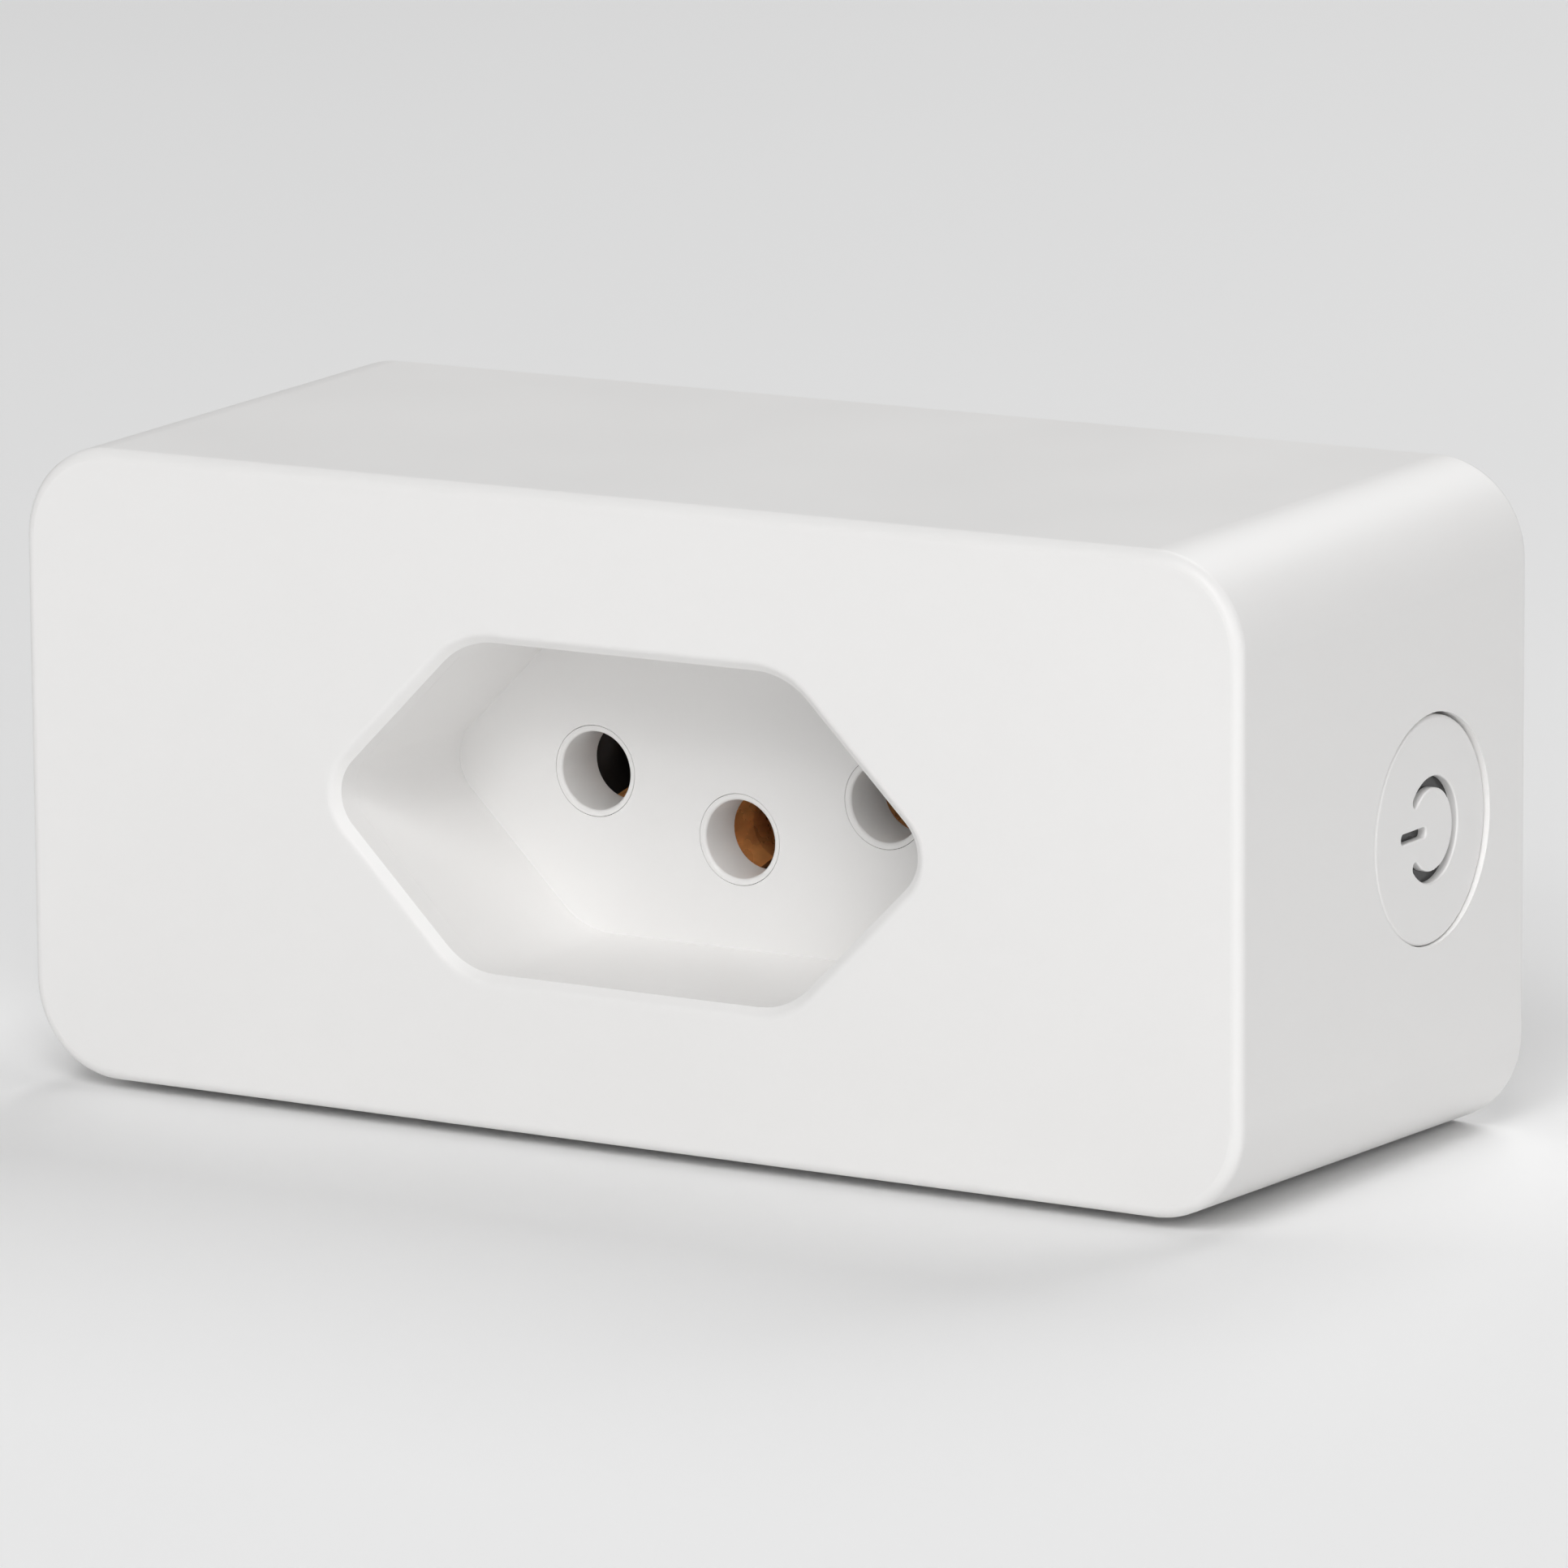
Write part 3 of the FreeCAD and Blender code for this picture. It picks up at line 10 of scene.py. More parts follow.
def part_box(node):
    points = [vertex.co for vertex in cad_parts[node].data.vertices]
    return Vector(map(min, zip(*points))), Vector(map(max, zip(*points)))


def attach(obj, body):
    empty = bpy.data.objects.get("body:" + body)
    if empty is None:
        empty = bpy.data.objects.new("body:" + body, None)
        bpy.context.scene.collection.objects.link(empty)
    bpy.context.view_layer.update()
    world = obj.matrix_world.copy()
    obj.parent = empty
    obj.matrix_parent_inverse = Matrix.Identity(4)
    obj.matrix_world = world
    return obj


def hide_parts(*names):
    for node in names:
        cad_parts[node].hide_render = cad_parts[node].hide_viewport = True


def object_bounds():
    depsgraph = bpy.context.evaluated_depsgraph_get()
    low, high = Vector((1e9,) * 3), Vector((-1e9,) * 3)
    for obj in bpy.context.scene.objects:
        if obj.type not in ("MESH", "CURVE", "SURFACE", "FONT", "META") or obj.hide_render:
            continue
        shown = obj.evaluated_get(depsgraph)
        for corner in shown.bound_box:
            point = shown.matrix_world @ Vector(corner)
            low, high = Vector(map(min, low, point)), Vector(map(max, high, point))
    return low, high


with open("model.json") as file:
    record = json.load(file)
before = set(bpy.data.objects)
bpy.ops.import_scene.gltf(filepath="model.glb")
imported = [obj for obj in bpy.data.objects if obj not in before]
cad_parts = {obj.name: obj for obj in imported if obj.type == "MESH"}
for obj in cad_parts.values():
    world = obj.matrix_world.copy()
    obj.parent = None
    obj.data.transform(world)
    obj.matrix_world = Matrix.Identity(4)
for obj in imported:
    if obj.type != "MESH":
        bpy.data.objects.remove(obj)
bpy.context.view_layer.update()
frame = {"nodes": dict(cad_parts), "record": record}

# Smart plug in metres. +Z is up, the socket faces -Y and the button is on the +X side.
# A named length or table is in millimetres unless its line multiplies it by MM or a comment says metres.

MM = 0.001
X_AXIS = Vector((1, 0, 0))
Y_AXIS = Vector((0, 1, 0))
Z_AXIS = Vector((0, 0, 1))


def corners(node):
    """Lowest and highest corner of a CAD node's box."""
    low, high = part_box(node)
    return Vector(low), Vector(high)


def middle(node):
    """Centre of a CAD node's box."""
    low, high = corners(node)
    return (low + high) / 2


def towards(azimuth, elevation):
    """Unit vector from the plug towards a direction in degrees. Azimuth 0 is in front of the socket."""
    a, e = math.radians(azimuth), math.radians(elevation)
    return Vector((math.sin(a) * math.cos(e), -math.cos(a) * math.cos(e), math.sin(e)))


# ---------------------------------------------------------------- materials

GRAINS = {
    "noise": "ShaderNodeTexNoise",
    "cells": "ShaderNodeTexVoronoi",
    "waves": "ShaderNodeTexWave",
}
# Sum of the grain's and the blotches' values over which the roughness goes from its lowest to its highest
GLOSS_SPAN = (0.6, 1.4)
BLOTCH_DETAIL = 4.0
LEAST_ROUGHNESS = 0.02
# Numbers of a colour mix node's sockets
MIX_A, MIX_B, MIX_RESULT = 6, 7, 2


def add_node(tree, kind, settings=None, **inputs):
    """New node with some settings and inputs given. An input is a value or another node's socket."""
    made = tree.nodes.new(kind)
    for name, value in (settings or {}).items():
        setattr(made, name, value)
    for name, value in inputs.items():
        socket = made.inputs[name.replace("_", " ")]
        if isinstance(value, bpy.types.NodeSocket):
            tree.links.new(value, socket)
        else:
            socket.default_value = value
    return made


def surface(name, color, roughness, metallic=0.0, kind="noise", grain=0.25, relief=0.004,
            stretch=(1, 1, 1), blotch=6.0, tint=0.05, wear=0.08, **extra):
    """Procedural finish: a fine grain in relief, and blotches that slowly change colour and gloss.

    Grain and blotch are the sizes of the marks and relief is the grain's height, in millimetres.
    Stretch lengthens the grain along each axis. Tint and wear are how far colour and roughness change.
    """
    made = bpy.data.materials.new(name)
    made.use_nodes = True
    tree = made.node_tree
    shader = tree.nodes["Principled BSDF"]
    place = add_node(tree, "ShaderNodeTexCoord").outputs["Object"]
    fine_scale = [1 / (grain * MM * s) for s in stretch]
    fine_place = add_node(tree, "ShaderNodeMapping", Vector=place, Scale=fine_scale)
    fine = add_node(tree, GRAINS[kind], Vector=fine_place.outputs["Vector"], Scale=1.0)
    height = fine.outputs["Distance"] if kind == "cells" else fine.outputs[0]
    bump = add_node(tree, "ShaderNodeBump", Strength=1.0, Distance=relief * MM, Height=height)
    slow_scale = 1 / (blotch * MM)
    slow = add_node(tree, "ShaderNodeTexNoise", Vector=place, Scale=slow_scale, Detail=BLOTCH_DETAIL)
    dark = [c * (1 - tint) for c in color]
    light = [min(c * (1 + tint), 1) for c in color]
    hue = add_node(tree, "ShaderNodeMix", {"data_type": "RGBA"}, Factor=slow.outputs[0])
    hue.inputs[MIX_A].default_value = (*dark, 1)
    hue.inputs[MIX_B].default_value = (*light, 1)
    both = add_node(tree, "ShaderNodeMath", {"operation": "ADD"})
    tree.links.new(slow.outputs[0], both.inputs[0])
    tree.links.new(height, both.inputs[1])
    rough = add_node(tree, "ShaderNodeMapRange", Value=both.outputs[0])
    rough.inputs["From Min"].default_value = GLOSS_SPAN[0]
    rough.inputs["From Max"].default_value = GLOSS_SPAN[1]
    rough.inputs["To Min"].default_value = max(roughness - wear, LEAST_ROUGHNESS)
    rough.inputs["To Max"].default_value = min(roughness + wear, 1.0)
    tree.links.new(hue.outputs[MIX_RESULT], shader.inputs["Base Color"])
    tree.links.new(rough.outputs["Result"], shader.inputs["Roughness"])
    tree.links.new(bump.outputs["Normal"], shader.inputs["Normal"])
    shader.inputs["Metallic"].default_value = metallic
    for input_name, value in extra.items():
        shader.inputs[input_name.replace("_", " ")].default_value = value
    return made


PLASTIC = {"grain": 0.16, "relief": 0.0016, "blotch": 14.0, "tint": 0.008, "wear": 0.05}
MOULDED = {"grain": 0.3, "relief": 0.004, "blotch": 4.0, "tint": 0.12, "wear": 0.1}
ROLLED = {"metallic": 1.0, "grain": 0.09, "relief": 0.0012, "blotch": 1.6, "tint": 0.1, "wear": 0.1}
COPPER = {**ROLLED, "metallic": 0.45, "grain": 1.3, "relief": 0.3, "stretch": (1, 2, 1),
          "blotch": 1.1, "tint": 0.4}
DRAWN_Y = {**ROLLED, "stretch": (1, 14, 1)}
DRAWN_Z = {**ROLLED, "stretch": (1, 1, 14)}
TURNED = {**ROLLED, "stretch": (1, 0.35, 1)}
MASKED = {"kind": "waves", "grain": 1.1, "relief": 0.006, "blotch": 7.0, "tint": 0.1, "wear": 0.08}
VARNISHED = {**MASKED, "Coat_Weight": 0.5, "Coat_Roughness": 0.15}
ENAMELLED = {**ROLLED, "Coat_Weight": 0.7, "Coat_Roughness": 0.1}
DIPPED = {**MOULDED, "relief": 0.02, "tint": 0.1}
SHRUNK = {**MOULDED, "relief": 0.008, "grain": 1.2, "tint": 0.15}
SINTERED = {**MOULDED, "kind": "cells", "grain": 0.12, "relief": 0.01}

# Base colour, roughness and options of each material slot of the CAD nodes

FINISHES = {
    "housing_white": ((0.925, 0.917, 0.908), 0.46, PLASTIC),
    "core_white": ((0.920, 0.912, 0.900), 0.36, {**PLASTIC, "grain": 0.12}),
    "button_white": ((0.925, 0.917, 0.908), 0.44, {**PLASTIC, "blotch": 8.0}),
    # The contact holder's near-black colour is painted shade: a dark moulding put behind the socket
    # holes, where there is only shade
    "holder_black": ((0.090, 0.083, 0.078), 0.38, MOULDED),
    "carrier_grey": ((0.42, 0.42, 0.41), 0.45, {**MOULDED, "tint": 0.04}),
    "pin_nickel": ((0.74, 0.71, 0.66), 0.24, TURNED),
    "contact_copper": ((0.98, 0.37, 0.125), 0.28, COPPER),
    "strap_brass": ((0.78, 0.60, 0.28), 0.30, DRAWN_Y),
    "spring_steel": ((0.48, 0.48, 0.50), 0.28, TURNED),
    "screw_steel": ((0.62, 0.62, 0.64), 0.34, ROLLED),
    "board_green": ((0.015, 0.16, 0.055), 0.28, VARNISHED),
    "film_yellow": ((0.78, 0.52, 0.05), 0.30, {**MOULDED, "tint": 0.05}),
    "can_sleeve": ((0.018, 0.022, 0.05), 0.22, SHRUNK),
    "ferrite": ((0.045, 0.044, 0.048), 0.62, SINTERED),
    "winding_copper": ((0.72, 0.27, 0.09), 0.24, ENAMELLED),
    "varistor_blue": ((0.03, 0.17, 0.46), 0.30, {**DIPPED, "grain": 0.7}),
    "resistor_green": ((0.18, 0.30, 0.17), 0.35, {**DIPPED, "grain": 0.5}),
    "chip_black": ((0.022, 0.022, 0.023), 0.52, {**MOULDED, "grain": 0.08, "tint": 0.1}),
    "shunt_metal": ((0.60, 0.42, 0.30), 0.34, DRAWN_Z),
    "relay_blue": ((0.02, 0.14, 0.40), 0.18, {**MOULDED, "tint": 0.04, "wear": 0.05}),
    "relay_black": ((0.025, 0.025, 0.026), 0.42, MOULDED),
    "soft_iron": ((0.56, 0.55, 0.53), 0.36, ROLLED),
    "contact_silver": ((0.86, 0.85, 0.80), 0.22, ROLLED),
    "header_black": ((0.02, 0.02, 0.02), 0.48, MOULDED),
    "header_gold": ((0.86, 0.63, 0.26), 0.2, ROLLED),
    "module_board": ((0.012, 0.03, 0.10), 0.28, VARNISHED),
    "shield_metal": ((0.74, 0.73, 0.70), 0.27, DRAWN_Z),
    "led_white": ((0.86, 0.84, 0.70), 0.2, {**PLASTIC, "Coat_Weight": 0.6}),
    # The light guide's near-black smoke colour is painted shade: it darkens the icon slots cut through
    # the button, where there is only shade
    "guide_smoke": ((0.020, 0.020, 0.021), 0.16, {**PLASTIC, "tint": 0.1}),
    "switch_black": ((0.022, 0.022, 0.022), 0.45, MOULDED),
    "switch_steel": ((0.66, 0.66, 0.65), 0.26, DRAWN_Z),
}

# The same for pieces made in this script that match no slot of the CAD nodes
PIECE_FINISHES = {
    "track_green": ((0.04, 0.27, 0.10), 0.26, MASKED),
    "solder": ((0.72, 0.73, 0.74), 0.2, ROLLED),
    "ceramic": ((0.50, 0.38, 0.26), 0.5, MOULDED),
    "can_metal": ((0.80, 0.80, 0.81), 0.3, TURNED),
}

materials = {}
for slot, (color, roughness, options) in {**FINISHES, **PIECE_FINISHES}.items():
    materials[slot] = surface(slot, color, roughness, **options)

node_slots = {part["node"]: part["material_slot"] for part in frame["record"]["subparts"]}
for node_name, node_object in frame["nodes"].items():
    node_object.data.materials.clear()
    node_object.data.materials.append(materials[node_slots[node_name]])

# ---------------------------------------------------------------- mesh pieces


def finish_piece(name, mesh_data, slot, body="casing", material=None, smooth=True):
    """Makes an object from a bmesh in metres and lets it ride on a body.

    The material is the slot's own unless another one is named.
    """
    mesh = bpy.data.meshes.new(name)
    bmesh.ops.recalc_face_normals(mesh_data, faces=mesh_data.faces)
    mesh_data.to_mesh(mesh)
    mesh_data.free()
    for face in mesh.polygons:
        face.use_smooth = smooth
    mesh.materials.append(materials[material or slot])
    piece = bpy.data.objects.new(name, mesh)
    bpy.context.collection.objects.link(piece)
    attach(piece, body)
    return piece


def skin(target, rings):
    """Quads between rings of the same number of points, with a cap on each end."""
    rows = [[target.verts.new(point) for point in ring] for ring in rings]
    count = len(rings[0])
    for first, second in zip(rows, rows[1:]):
        for i in range(count):
            j = (i + 1) % count
            target.faces.new((first[i], first[j], second[j], second[i]))
    target.faces.new(rows[0])
    target.faces.new(rows[-1])


WIRE_SIDES = 8
NEARLY_UPRIGHT = 0.9


def add_wire(target, path, radius):
    """Round wire along a path of points."""
    rings = []
    for i, point in enumerate(path):
        ahead = (path[min(i + 1, len(path) - 1)] - path[max(i - 1, 0)]).normalized()
        side = ahead.cross(Z_AXIS if abs(ahead.z) < NEARLY_UPRIGHT else X_AXIS).normalized()
        up = side.cross(ahead)
        ring = []
        for k in range(WIRE_SIDES):
            angle = 2 * math.pi * k / WIRE_SIDES
            ring.append(point + side * (radius * math.cos(angle)) + up * (radius * math.sin(angle)))
        rings.append(ring)
    skin(target, rings)


COIL_STEPS = 32


def coil_path(centre, radius, start, end, turns):
    """Points of a helix about the Y direction through centre, from y = start to y = end."""
    path = []
    count = turns * COIL_STEPS
    for i in range(count + 1):
        angle = 2 * math.pi * i / COIL_STEPS
        y = start + (end - start) * i / count
        path.append(Vector((centre.x + radius * math.cos(angle), y, centre.z + radius * math.sin(angle))))
    return path


LATHE_SIDES = 24


def add_lathe(target, base, axis, profile):
    """Solid of revolution about an axis through base. The profile is (height, radius) pairs in mm."""
    side = axis.orthogonal().normalized()
    rings = []
    for height, radius in profile:
        ring = []
        for k in range(LATHE_SIDES):
            turn = Matrix.Rotation(2 * math.pi * k / LATHE_SIDES, 3, axis)
            ring.append(base + axis * (height * MM) + turn @ side * (radius * MM))
        rings.append(ring)
    skin(target, rings)


def add_block(target, low, high, bevel):
    """Box between two corners with bevelled edges."""
    made = bmesh.new()
    bmesh.ops.create_cube(made, size=1.0)
    size = high - low
    for vertex in made.verts:
        vertex.co = Vector([low[k] + (vertex.co[k] + 0.5) * size[k] for k in range(3)])
    bmesh.ops.bevel(made, geom=made.edges[:], offset=bevel, segments=2, affect="EDGES", profile=0.5)
    mesh = bpy.data.meshes.new("block")
    made.to_mesh(mesh)
    made.free()
    target.from_mesh(mesh)
    bpy.data.meshes.remove(mesh)


# Measures of a winding, in radii of its wire
TURN_PITCH = 2.04
LAYER_PITCH = 1.8
STAGGER = 0.5
START_MARGIN = 1.5
END_MARGIN = 2.0


def wound_wire(name, node, slot, wire_radius, layers):
    """Coil of real turns that stands for a CAD node drawn as a plain tube about the Y direction."""
    low, high = corners(node)
    outer = (high.x - low.x) / 2
    target = bmesh.new()
    turns = int((high.y - low.y) / (TURN_PITCH * wire_radius)) - 1
    for layer in range(layers):
        stagger = layer % 2 * STAGGER
        radius = outer - wire_radius * (1 + LAYER_PITCH * layer)
        start = low.y + wire_radius * (START_MARGIN + stagger)
        end = high.y - wire_radius * (END_MARGIN - stagger)
        add_wire(target, coil_path(middle(node), radius, start, end, turns), wire_radius)
    piece = finish_piece(name, target, slot)
    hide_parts(node)


wound_wire("choke_turns", "choke_winding", "winding_copper", wire_radius=0.13 * MM, layers=2)
wound_wire("relay_coil_turns", "relay_coil", "winding_copper", wire_radius=0.11 * MM, layers=2)

# Tops of the electrolytic cans: four bare metal quarters between vent grooves, inside the sleeve's edge

CAN_R = 3.0
TOP_R = 2.3
TOP_THICKNESS = 0.12
TOP_SUNK = 0.02
GROOVE_HALF = 0.12
QUARTER_DEG = (4, 86)
QUARTER_STEPS = 12
can_low, can_high = corners("bulk_capacitors")
can_places = [Vector((x, can_low.y, (can_low.z + can_high.z) / 2))
              for x in (can_low.x + CAN_R * MM, can_high.x - CAN_R * MM)]


def mm_points(points):
    """2-D points given in millimetres, in metres."""
    return [(u * MM, v * MM) for u, v in points]


def add_prism(target, outline, place, thickness):
    """Plate whose outline is 2-D points. Place turns (u, v, height) in metres into a point."""
    near = [target.verts.new(place(u, v, 0)) for u, v in outline]
    far = [target.verts.new(place(u, v, thickness)) for u, v in outline]
    target.faces.new(near)
    target.faces.new(far)
    for i in range(len(outline)):
        j = (i + 1) % len(outline)
        target.faces.new((near[i], near[j], far[j], far[i]))


def can_quarter(turn):
    """Outline of one quarter of a can's top, turned by an angle: its inner corner and its rim."""
    apex_turn = turn + math.pi / 4
    apex_reach = GROOVE_HALF * math.sqrt(2)
    points = [(apex_reach * math.cos(apex_turn), apex_reach * math.sin(apex_turn))]
    first, last = QUARTER_DEG
    for k in range(QUARTER_STEPS + 1):
        angle = turn + math.radians(first + (last - first) * k / QUARTER_STEPS)
        points.append((TOP_R * math.cos(angle), TOP_R * math.sin(angle)))
    return mm_points(points)


tops = bmesh.new()
for can in can_places:
    for quarter in range(4):
        add_prism(tops, can_quarter(quarter * math.pi / 2),
                  lambda u, v, h: Vector((can.x + u, can.y + TOP_SUNK * MM - h, can.z + v)),
                  TOP_THICKNESS * MM)
finish_piece("capacitor_tops", tops, "shield_metal", material="can_metal", smooth=False)

# ---------------------------------------------------------------- solder, tracks and small parts

board_low, board_high = corners("main_board")
control_low, control_high = corners("control_board")

LEAD_R = 0.3
CAN_LEAD_HALF_SPAN = 1.25
LEAD_HALF_SPANS = {"filter_capacitor": 5.0, "choke_core": 1.5, "surge_varistor": 2.5}
HEADER_PITCH = 2.54
HEADER_PIN_R = 0.32


def lead_places():
    """(x, z) of every round lead that comes through the main board."""
    spans = [(can.x, can.z, CAN_LEAD_HALF_SPAN * MM) for can in can_places]
    for node, half_span in LEAD_HALF_SPANS.items():
        centre = middle(node)
        spans.append((centre.x, centre.z, half_span * MM))
    places = []
    for x, z, half_span in spans:
        places += [(x - half_span, z), (x + half_span, z)]
    for node in ("fuse_resistor", "relay_coil_terminals"):
        # The fuse has its leads at mid height, and the coil's terminals have theirs at the low end
        low, high = corners(node)
        z = middle(node).z if node == "fuse_resistor" else low.z + LEAD_R * MM
        places += [(low.x + LEAD_R * MM, z), (high.x - LEAD_R * MM, z)]
    return places


def header_rows():
    """Z of each pin of the board header."""
    centre = middle("board_header_pins")
    return [centre.z + row * HEADER_PITCH * MM for row in range(-2, 3)]


SOLDER_PROFILE = [(0.0, 0.78), (0.08, 0.74), (0.22, 0.55), (0.42, 0.42),
                  (0.62, 0.36), (0.84, 0.34), (0.91, 0.25), (0.94, 0.12)]
HEADER_SOLDER_PROFILE = [(height * 0.6, radius) for height, radius in SOLDER_PROFILE]
LAND_PROFILE = [(0.0, 0.95), (0.05, 0.95)]
LAND_GAP = 0.005
SOLDER_GAP = 0.05
HEADER_SOLDER_GAP = 0.01


def add_joint(lands, joints, place, axis):
    """Solder over the tip of a lead, on a round copper land."""
    add_lathe(lands, place + axis * LAND_GAP * MM, axis, LAND_PROFILE)
    add_lathe(joints, place + axis * SOLDER_GAP * MM, axis, SOLDER_PROFILE)


lands = bmesh.new()
joints = bmesh.new()
for lead_x, lead_z in lead_places():
    add_joint(lands, joints, Vector((lead_x, board_high.y, lead_z)), Y_AXIS)
header_low = corners("board_header_pins")[0]
header_x = header_low.x + HEADER_PIN_R * MM
header_y = header_low.y + HEADER_PIN_R * MM
for row_z in header_rows():
    add_joint(lands, joints, Vector((header_x, board_high.y, row_z)), Y_AXIS)
    header_tip = Vector((control_high.x + HEADER_SOLDER_GAP * MM, header_y, row_z))
    add_lathe(joints, header_tip, X_AXIS, HEADER_SOLDER_PROFILE)
finish_piece("board_lands", lands, "header_gold")
finish_piece("solder_joints", joints, "shield_metal", material="solder")

TRACK_THICKNESS = 0.05 * MM
TRACK_GAP = 0.004 * MM
SHARPEST_MITRE = 0.4


def add_track(target, path, width, place):
    """Copper track along 2-D points, mitred at its bends."""
    left, right = [], []
    points = [Vector(p) for p in path]
    for i, point in enumerate(points):
        before = (point - points[i - 1]).normalized() if i else (points[1] - point).normalized()
        after = (points[i + 1] - point).normalized() if i + 1 < len(points) else before
        across = Vector((-(before + after).y, (before + after).x)).normalized()
        reach = width / 2 / max(across.dot(Vector((-before.y, before.x))), SHARPEST_MITRE)
        left.append(point + across * reach)
        right.append(point - across * reach)
    add_prism(target, left + right[::-1], place, TRACK_THICKNESS)


def rear_place(u, v, h):
    """A place on the main board's rear face."""
    return Vector((u, board_high.y + TRACK_GAP + h, v))


def front_place(u, v, h):
    """A place on the main board's front face."""
    return Vector((u, board_low.y - TRACK_GAP - h, v))


def control_place(u, v, h):
    """A place on the control board's outer face."""
    return Vector((control_high.x + TRACK_GAP + h, u, v))


def stepped(start, end, lead_in):
    """A track's path: along u, a 45 degree slant, and along u again."""
    slant = abs(end[1] - start[1])
    sign = math.copysign(1, end[0] - start[0])
    first = start[0] + sign * lead_in
    return [start, (first, start[1]), (first + sign * slant, end[1]), end]


LEAD_CLEARANCE = 1.2 * MM


def clear_of_leads(path):
    """Whether a track keeps away from every round lead of the main board."""
    points = [Vector(p) for p in path]
    for start, end in zip(points, points[1:]):
        run = end - start
        for place in lead_places():
            lead = Vector(place)
            along = min(max((lead - start).dot(run) / run.length_squared, 0), 1)
            if (start + run * along - lead).length < LEAD_CLEARANCE:
                return False
    return True


# Tracks in mm. A run's end and step are (u, v), and the step goes from one run to the next.

HEADER_TRACK_WIDTH = 0.3
HEADER_TRACK_LEAD_IN = 0.8
HEADER_TRACK_SQUEEZE = 0.62
CHIP_MARGIN = 0.6

RUN_COUNT = 4
RUN_START = (-34, 10.6)
RUN_START_STEP = (1.3, 0.9)
REAR_RUN = {"end": (31.0, 12.0), "step": (-2.1, 0.9), "lead_in": 12.0, "width": 0.35}
FRONT_RUN = {"end": (30.0, 10.8), "step": (-1.7, 0.4), "lead_in": 9.0, "width": 0.28}

CONTROL_COUNT = 6
CONTROL_PITCH = 4.4
CONTROL_SQUEEZE = 0.8
CONTROL_MARGINS = (1.0, 2.6)
CONTROL_LEAD_IN = 3.0
CONTROL_WIDTH = 0.25


def edge_run(side, i, run):
    """Path of the i-th run along a long edge of the main board; side is 1 at the top and -1 below."""
    start = (RUN_START[0] + i * RUN_START_STEP[0], side * (RUN_START[1] + i * RUN_START_STEP[1]))
    end = (run["end"][0] + i * run["step"][0], side * (run["end"][1] + i * run["step"][1]))
    return mm_points(stepped(start, end, run["lead_in"]))


rear_tracks = bmesh.new()
front_tracks = bmesh.new()
control_tracks = bmesh.new()
chip_side = corners("metering_chip")[1].x / MM + CHIP_MARGIN
for row_z in header_rows():
    row = row_z / MM
    chip_end = (chip_side, row * HEADER_TRACK_SQUEEZE)
    path = mm_points(stepped((header_x / MM, row), chip_end, HEADER_TRACK_LEAD_IN))
    add_track(rear_tracks, path, HEADER_TRACK_WIDTH * MM, rear_place)
board_faces = ((rear_tracks, REAR_RUN, rear_place), (front_tracks, FRONT_RUN, front_place))
for side in (-1, 1):
    for i in range(RUN_COUNT):
        for tracks, run, place in board_faces:
            path = edge_run(side, i, run)
            if clear_of_leads(path):
                add_track(tracks, path, run["width"] * MM, place)
for i in range(CONTROL_COUNT):
    v = (i - (CONTROL_COUNT - 1) / 2) * CONTROL_PITCH
    start = (control_low.y / MM + CONTROL_MARGINS[0], v)
    end = (control_high.y / MM - CONTROL_MARGINS[1], v * CONTROL_SQUEEZE)
    path = mm_points(stepped(start, end, CONTROL_LEAD_IN + i))
    add_track(control_tracks, path, CONTROL_WIDTH * MM, control_place)
finish_piece("main_board_rear_tracks", rear_tracks, "board_green", material="track_green",
             smooth=False)
finish_piece("main_board_front_tracks", front_tracks, "board_green", material="track_green",
             smooth=False)
finish_piece("control_board_tracks", control_tracks, "board_green", material="track_green",
             smooth=False)

# Small surface-mounted resistors and capacitors: a body with a plated cap on each end

SMALL_SIZES = [(1.6, 0.8, 0.45), (1.0, 0.5, 0.35), (2.0, 1.25, 0.5)]
CAP_SHARE = 0.22
CAP_SWELL = 0.02 * MM
PART_GAP = 0.02 * MM
PART_BEVEL = 0.05 * MM


def add_small_part(bodies, ends, u, v, size, upright, place):
    """A chip resistor or capacitor at (u, v), made of a body and two caps."""
    length, width, height = [value * MM for value in size]
    cap = length * CAP_SHARE
    for target, start, stop, swell in ((bodies, -length / 2 + cap, length / 2 - cap, 0.0),
                                       (ends, -length / 2, -length / 2 + cap, CAP_SWELL),
                                       (ends, length / 2 - cap, length / 2, CAP_SWELL)):
        spans = [(start, stop), (-width / 2 - swell, width / 2 + swell)]
        if upright:
            spans.reverse()
        one = place(u + spans[0][0], v + spans[1][0], PART_GAP)
        two = place(u + spans[0][1], v + spans[1][1], height + swell)
        low = Vector([min(one[k], two[k]) for k in range(3)])
        high = Vector([max(one[k], two[k]) for k in range(3)])
        add_block(target, low, high, PART_BEVEL)


TRIES_PER_PART = 8
PART_SPACING = 0.3


def scatter(bodies, ends, region, count, keep_clear, place, chance):
    """Small parts at random places of a region, clear of each other and of the circles given."""
    taken = list(keep_clear)
    for _ in range(count * TRIES_PER_PART):
        u = chance.uniform(region[0], region[1])
        v = chance.uniform(region[2], region[3])
        size = chance.choice(SMALL_SIZES)
        upright = chance.random() < 0.5
        if min(math.hypot(u - a, v - b) - r for a, b, r in taken) > size[0] / 2:
            add_small_part(bodies, ends, u * MM, v * MM, size, upright, place)
            taken.append((u, v, size[0] / 2 + PART_SPACING))
        if len(taken) - len(keep_clear) >= count:
            break


# Regions as (lowest u, highest u, lowest v, highest v), and circles to keep clear as (u, v, radius)

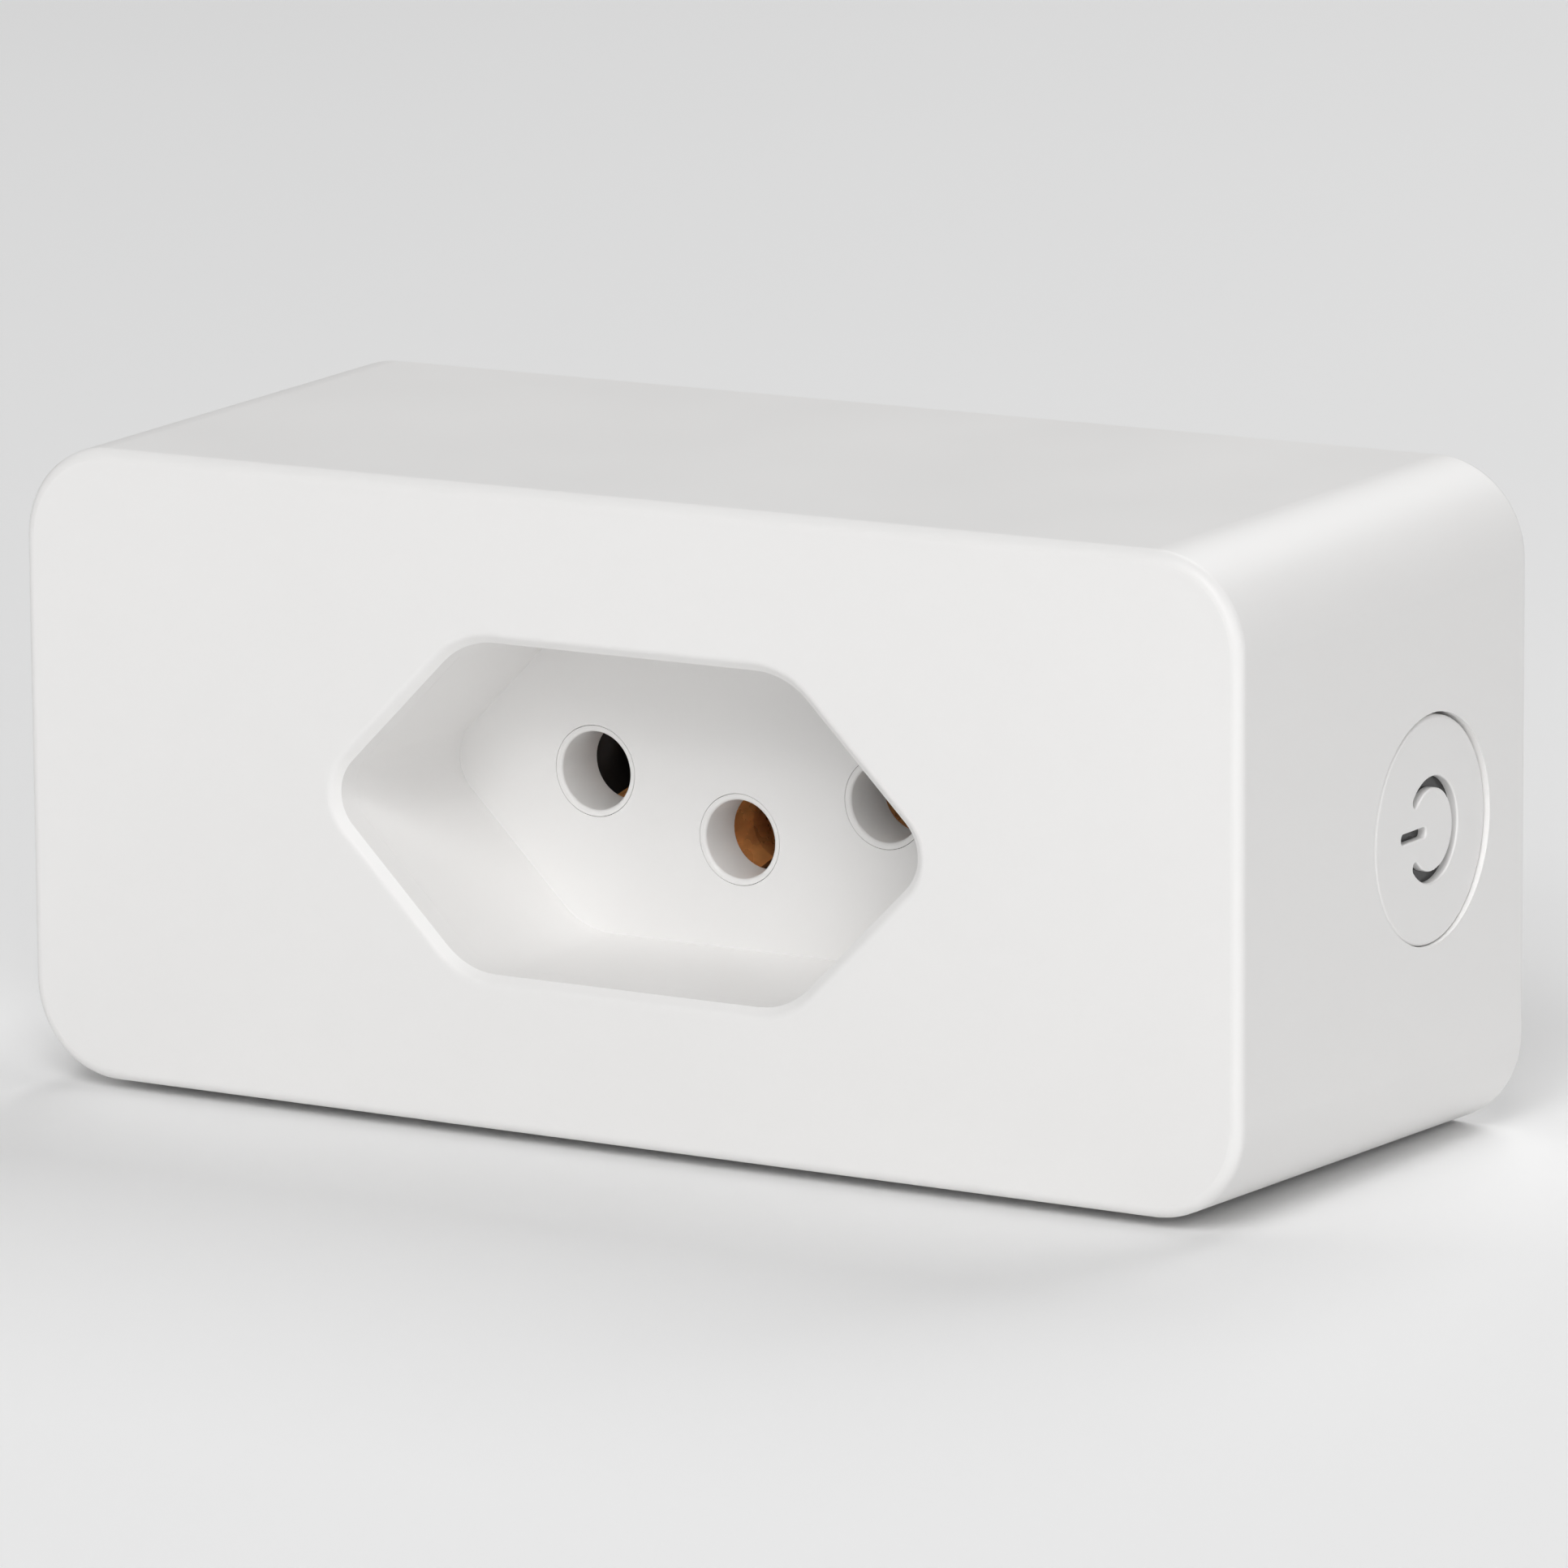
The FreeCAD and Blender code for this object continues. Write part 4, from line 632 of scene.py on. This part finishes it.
MAIN_PARTS_U = (-26, 29)
MAIN_PARTS_V = (10.8, 15.0)
MAIN_PARTS = 16
LEAD_KEEP_R = 1.1
SCREW_INSET = 2.1
SCREW_Z = 13.2
SCREW_KEEP_R = 3.2
CONTROL_EDGE = 1.5
CONTROL_PARTS_V = 14.0
CONTROL_PARTS = 22
SWITCH_KEEP_R = 5.6
HEADER_KEEP = (-19.0, 0.0, 7.6)
SEED = 7

chance = random.Random(SEED)
small_bodies = bmesh.new()
small_ends = bmesh.new()
main_keep = [(x / MM, z / MM, LEAD_KEEP_R) for x, z in lead_places()]
screw_low, screw_high = corners("housing_screws")
for screw_x in (screw_low.x / MM + SCREW_INSET, screw_high.x / MM - SCREW_INSET):
    main_keep += [(screw_x, -SCREW_Z, SCREW_KEEP_R), (screw_x, SCREW_Z, SCREW_KEEP_R)]
for side in (-1, 1):
    v_span = sorted(side * v for v in MAIN_PARTS_V)
    scatter(small_bodies, small_ends, (*MAIN_PARTS_U, *v_span), MAIN_PARTS, main_keep, rear_place, chance)
switch = middle("tact_switch_body")
control_keep = [(switch.y / MM, switch.z / MM, SWITCH_KEEP_R), HEADER_KEEP]
control_region = (control_low.y / MM + CONTROL_EDGE, control_high.y / MM - CONTROL_EDGE,
                  -CONTROL_PARTS_V, CONTROL_PARTS_V)
scatter(small_bodies, small_ends, control_region, CONTROL_PARTS, control_keep, control_place, chance)
finish_piece("small_part_bodies", small_bodies, "chip_black", material="ceramic", smooth=False)
finish_piece("small_part_ends", small_ends, "shield_metal", material="solder", smooth=False)

# Printed antenna on the radio module: a meander of bare copper beyond the shield

ANTENNA_PASSES = 6
ANTENNA_START = -4.6
ANTENNA_PITCH = 1.84
ANTENNA_WIDTH = 0.5
ANTENNA_FROM_EDGE = 0.8
ANTENNA_FROM_SHIELD = 0.9

module_low = corners("radio_module")[0]
shield_low = corners("radio_shield")[0]
antenna = bmesh.new()
meander = []
for i in range(ANTENNA_PASSES):
    v = (ANTENNA_START + i * ANTENNA_PITCH) * MM
    edges = [module_low.y + ANTENNA_FROM_EDGE * MM, shield_low.y - ANTENNA_FROM_SHIELD * MM]
    if i % 2:
        edges.reverse()
    meander += [(edges[0], v), (edges[1], v)]
add_track(antenna, meander, ANTENNA_WIDTH * MM,
          lambda u, v, h: Vector((module_low.x - TRACK_GAP - h, u, v)))
finish_piece("radio_antenna", antenna, "header_gold", smooth=False)

# ---------------------------------------------------------------- stage

# Azimuth and elevation in degrees, distance and size in metres, and power in watts of each soft light
LIGHTS = {
    "key": (20, 43, 1.2, 0.6, 5.9),
    "front_spot": (15, 28, 1.2, 0.25, 1.3),
    "front_fill": (38, 17, 1.2, 0.45, 2.0),
    "right": (85, 28, 1.2, 0.8, 1.45),
    "left": (-90, 25, 1.2, 0.8, 1.9),
    "rear_top": (180, 50, 1.2, 0.8, 6.3),
}
WORLD_STRENGTH = 0.09


def make_lights():
    """Soft square lights round the plug, and a faint even light from everywhere."""
    centre = middle("front_housing")
    for name, (azimuth, elevation, distance, size, power) in LIGHTS.items():
        away = towards(azimuth, elevation)
        light = bpy.data.lights.new(name, "AREA")
        light.shape = "SQUARE"
        light.size = size
        light.energy = power
        lamp = bpy.data.objects.new(name, light)
        bpy.context.collection.objects.link(lamp)
        lamp.location = centre + away * distance
        lamp.rotation_euler = (-away).to_track_quat("-Z", "Y").to_euler()
    world = bpy.data.worlds.new("world")
    bpy.context.scene.world = world
    world.use_nodes = True
    world.node_tree.nodes["Background"].inputs["Color"].default_value = (1, 1, 1, 1)
    world.node_tree.nodes["Background"].inputs["Strength"].default_value = WORLD_STRENGTH
    bpy.context.scene.view_settings.view_transform = "Standard"


# Half of the floor's side in metres
FLOOR_REACH = 12.0
FLOOR_PAINT = {"tint": 0.004, "wear": 0.02, "blotch": 60.0}


def make_floor():
    """Plain pale floor that the plug stands on."""
    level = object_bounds()[0].z
    mesh = bpy.data.meshes.new("floor")
    signs = [(-1, -1), (1, -1), (1, 1), (-1, 1)]
    points = [(sx * FLOOR_REACH, sy * FLOOR_REACH, level) for sx, sy in signs]
    mesh.from_pydata(points, [], [(0, 1, 2, 3)])
    mesh.materials.append(surface("floor_paint", (0.94, 0.94, 0.94), 0.9, **FLOOR_PAINT))
    floor = bpy.data.objects.new("floor", mesh)
    bpy.context.collection.objects.link(floor)


make_lights()
make_floor()

# ---------------------------------------------------------------- camera

# Direction in degrees, distance in metres, lens, sensor and aim in millimetres, clip in metres
CAMERA_DIRECTION = (31.38, 11.24)
CAMERA_ROLL = math.radians(-0.41)
CAMERA_DISTANCE = 0.5852
CAMERA_LENS = 244.64
CAMERA_SENSOR = 36.0
CAMERA_CLIP = (0.01, 50.0)
CAMERA_AIM_FROM_BODY = Vector((7.77, -10.51, 2.15)) * MM


def make_camera():
    """Long lens a little above the plug and to the right of its socket."""
    away = towards(*CAMERA_DIRECTION)
    camera = bpy.data.objects.new("camera", bpy.data.cameras.new("camera"))
    bpy.context.collection.objects.link(camera)
    camera.data.lens = CAMERA_LENS
    camera.data.sensor_width = CAMERA_SENSOR
    camera.data.clip_start, camera.data.clip_end = CAMERA_CLIP
    camera.location = middle("front_housing") + CAMERA_AIM_FROM_BODY + away * CAMERA_DISTANCE
    turn = (-away).to_track_quat("-Z", "Y").to_matrix() @ Matrix.Rotation(CAMERA_ROLL, 3, "Z")
    camera.rotation_euler = turn.to_euler()
    bpy.context.scene.camera = camera


make_camera()
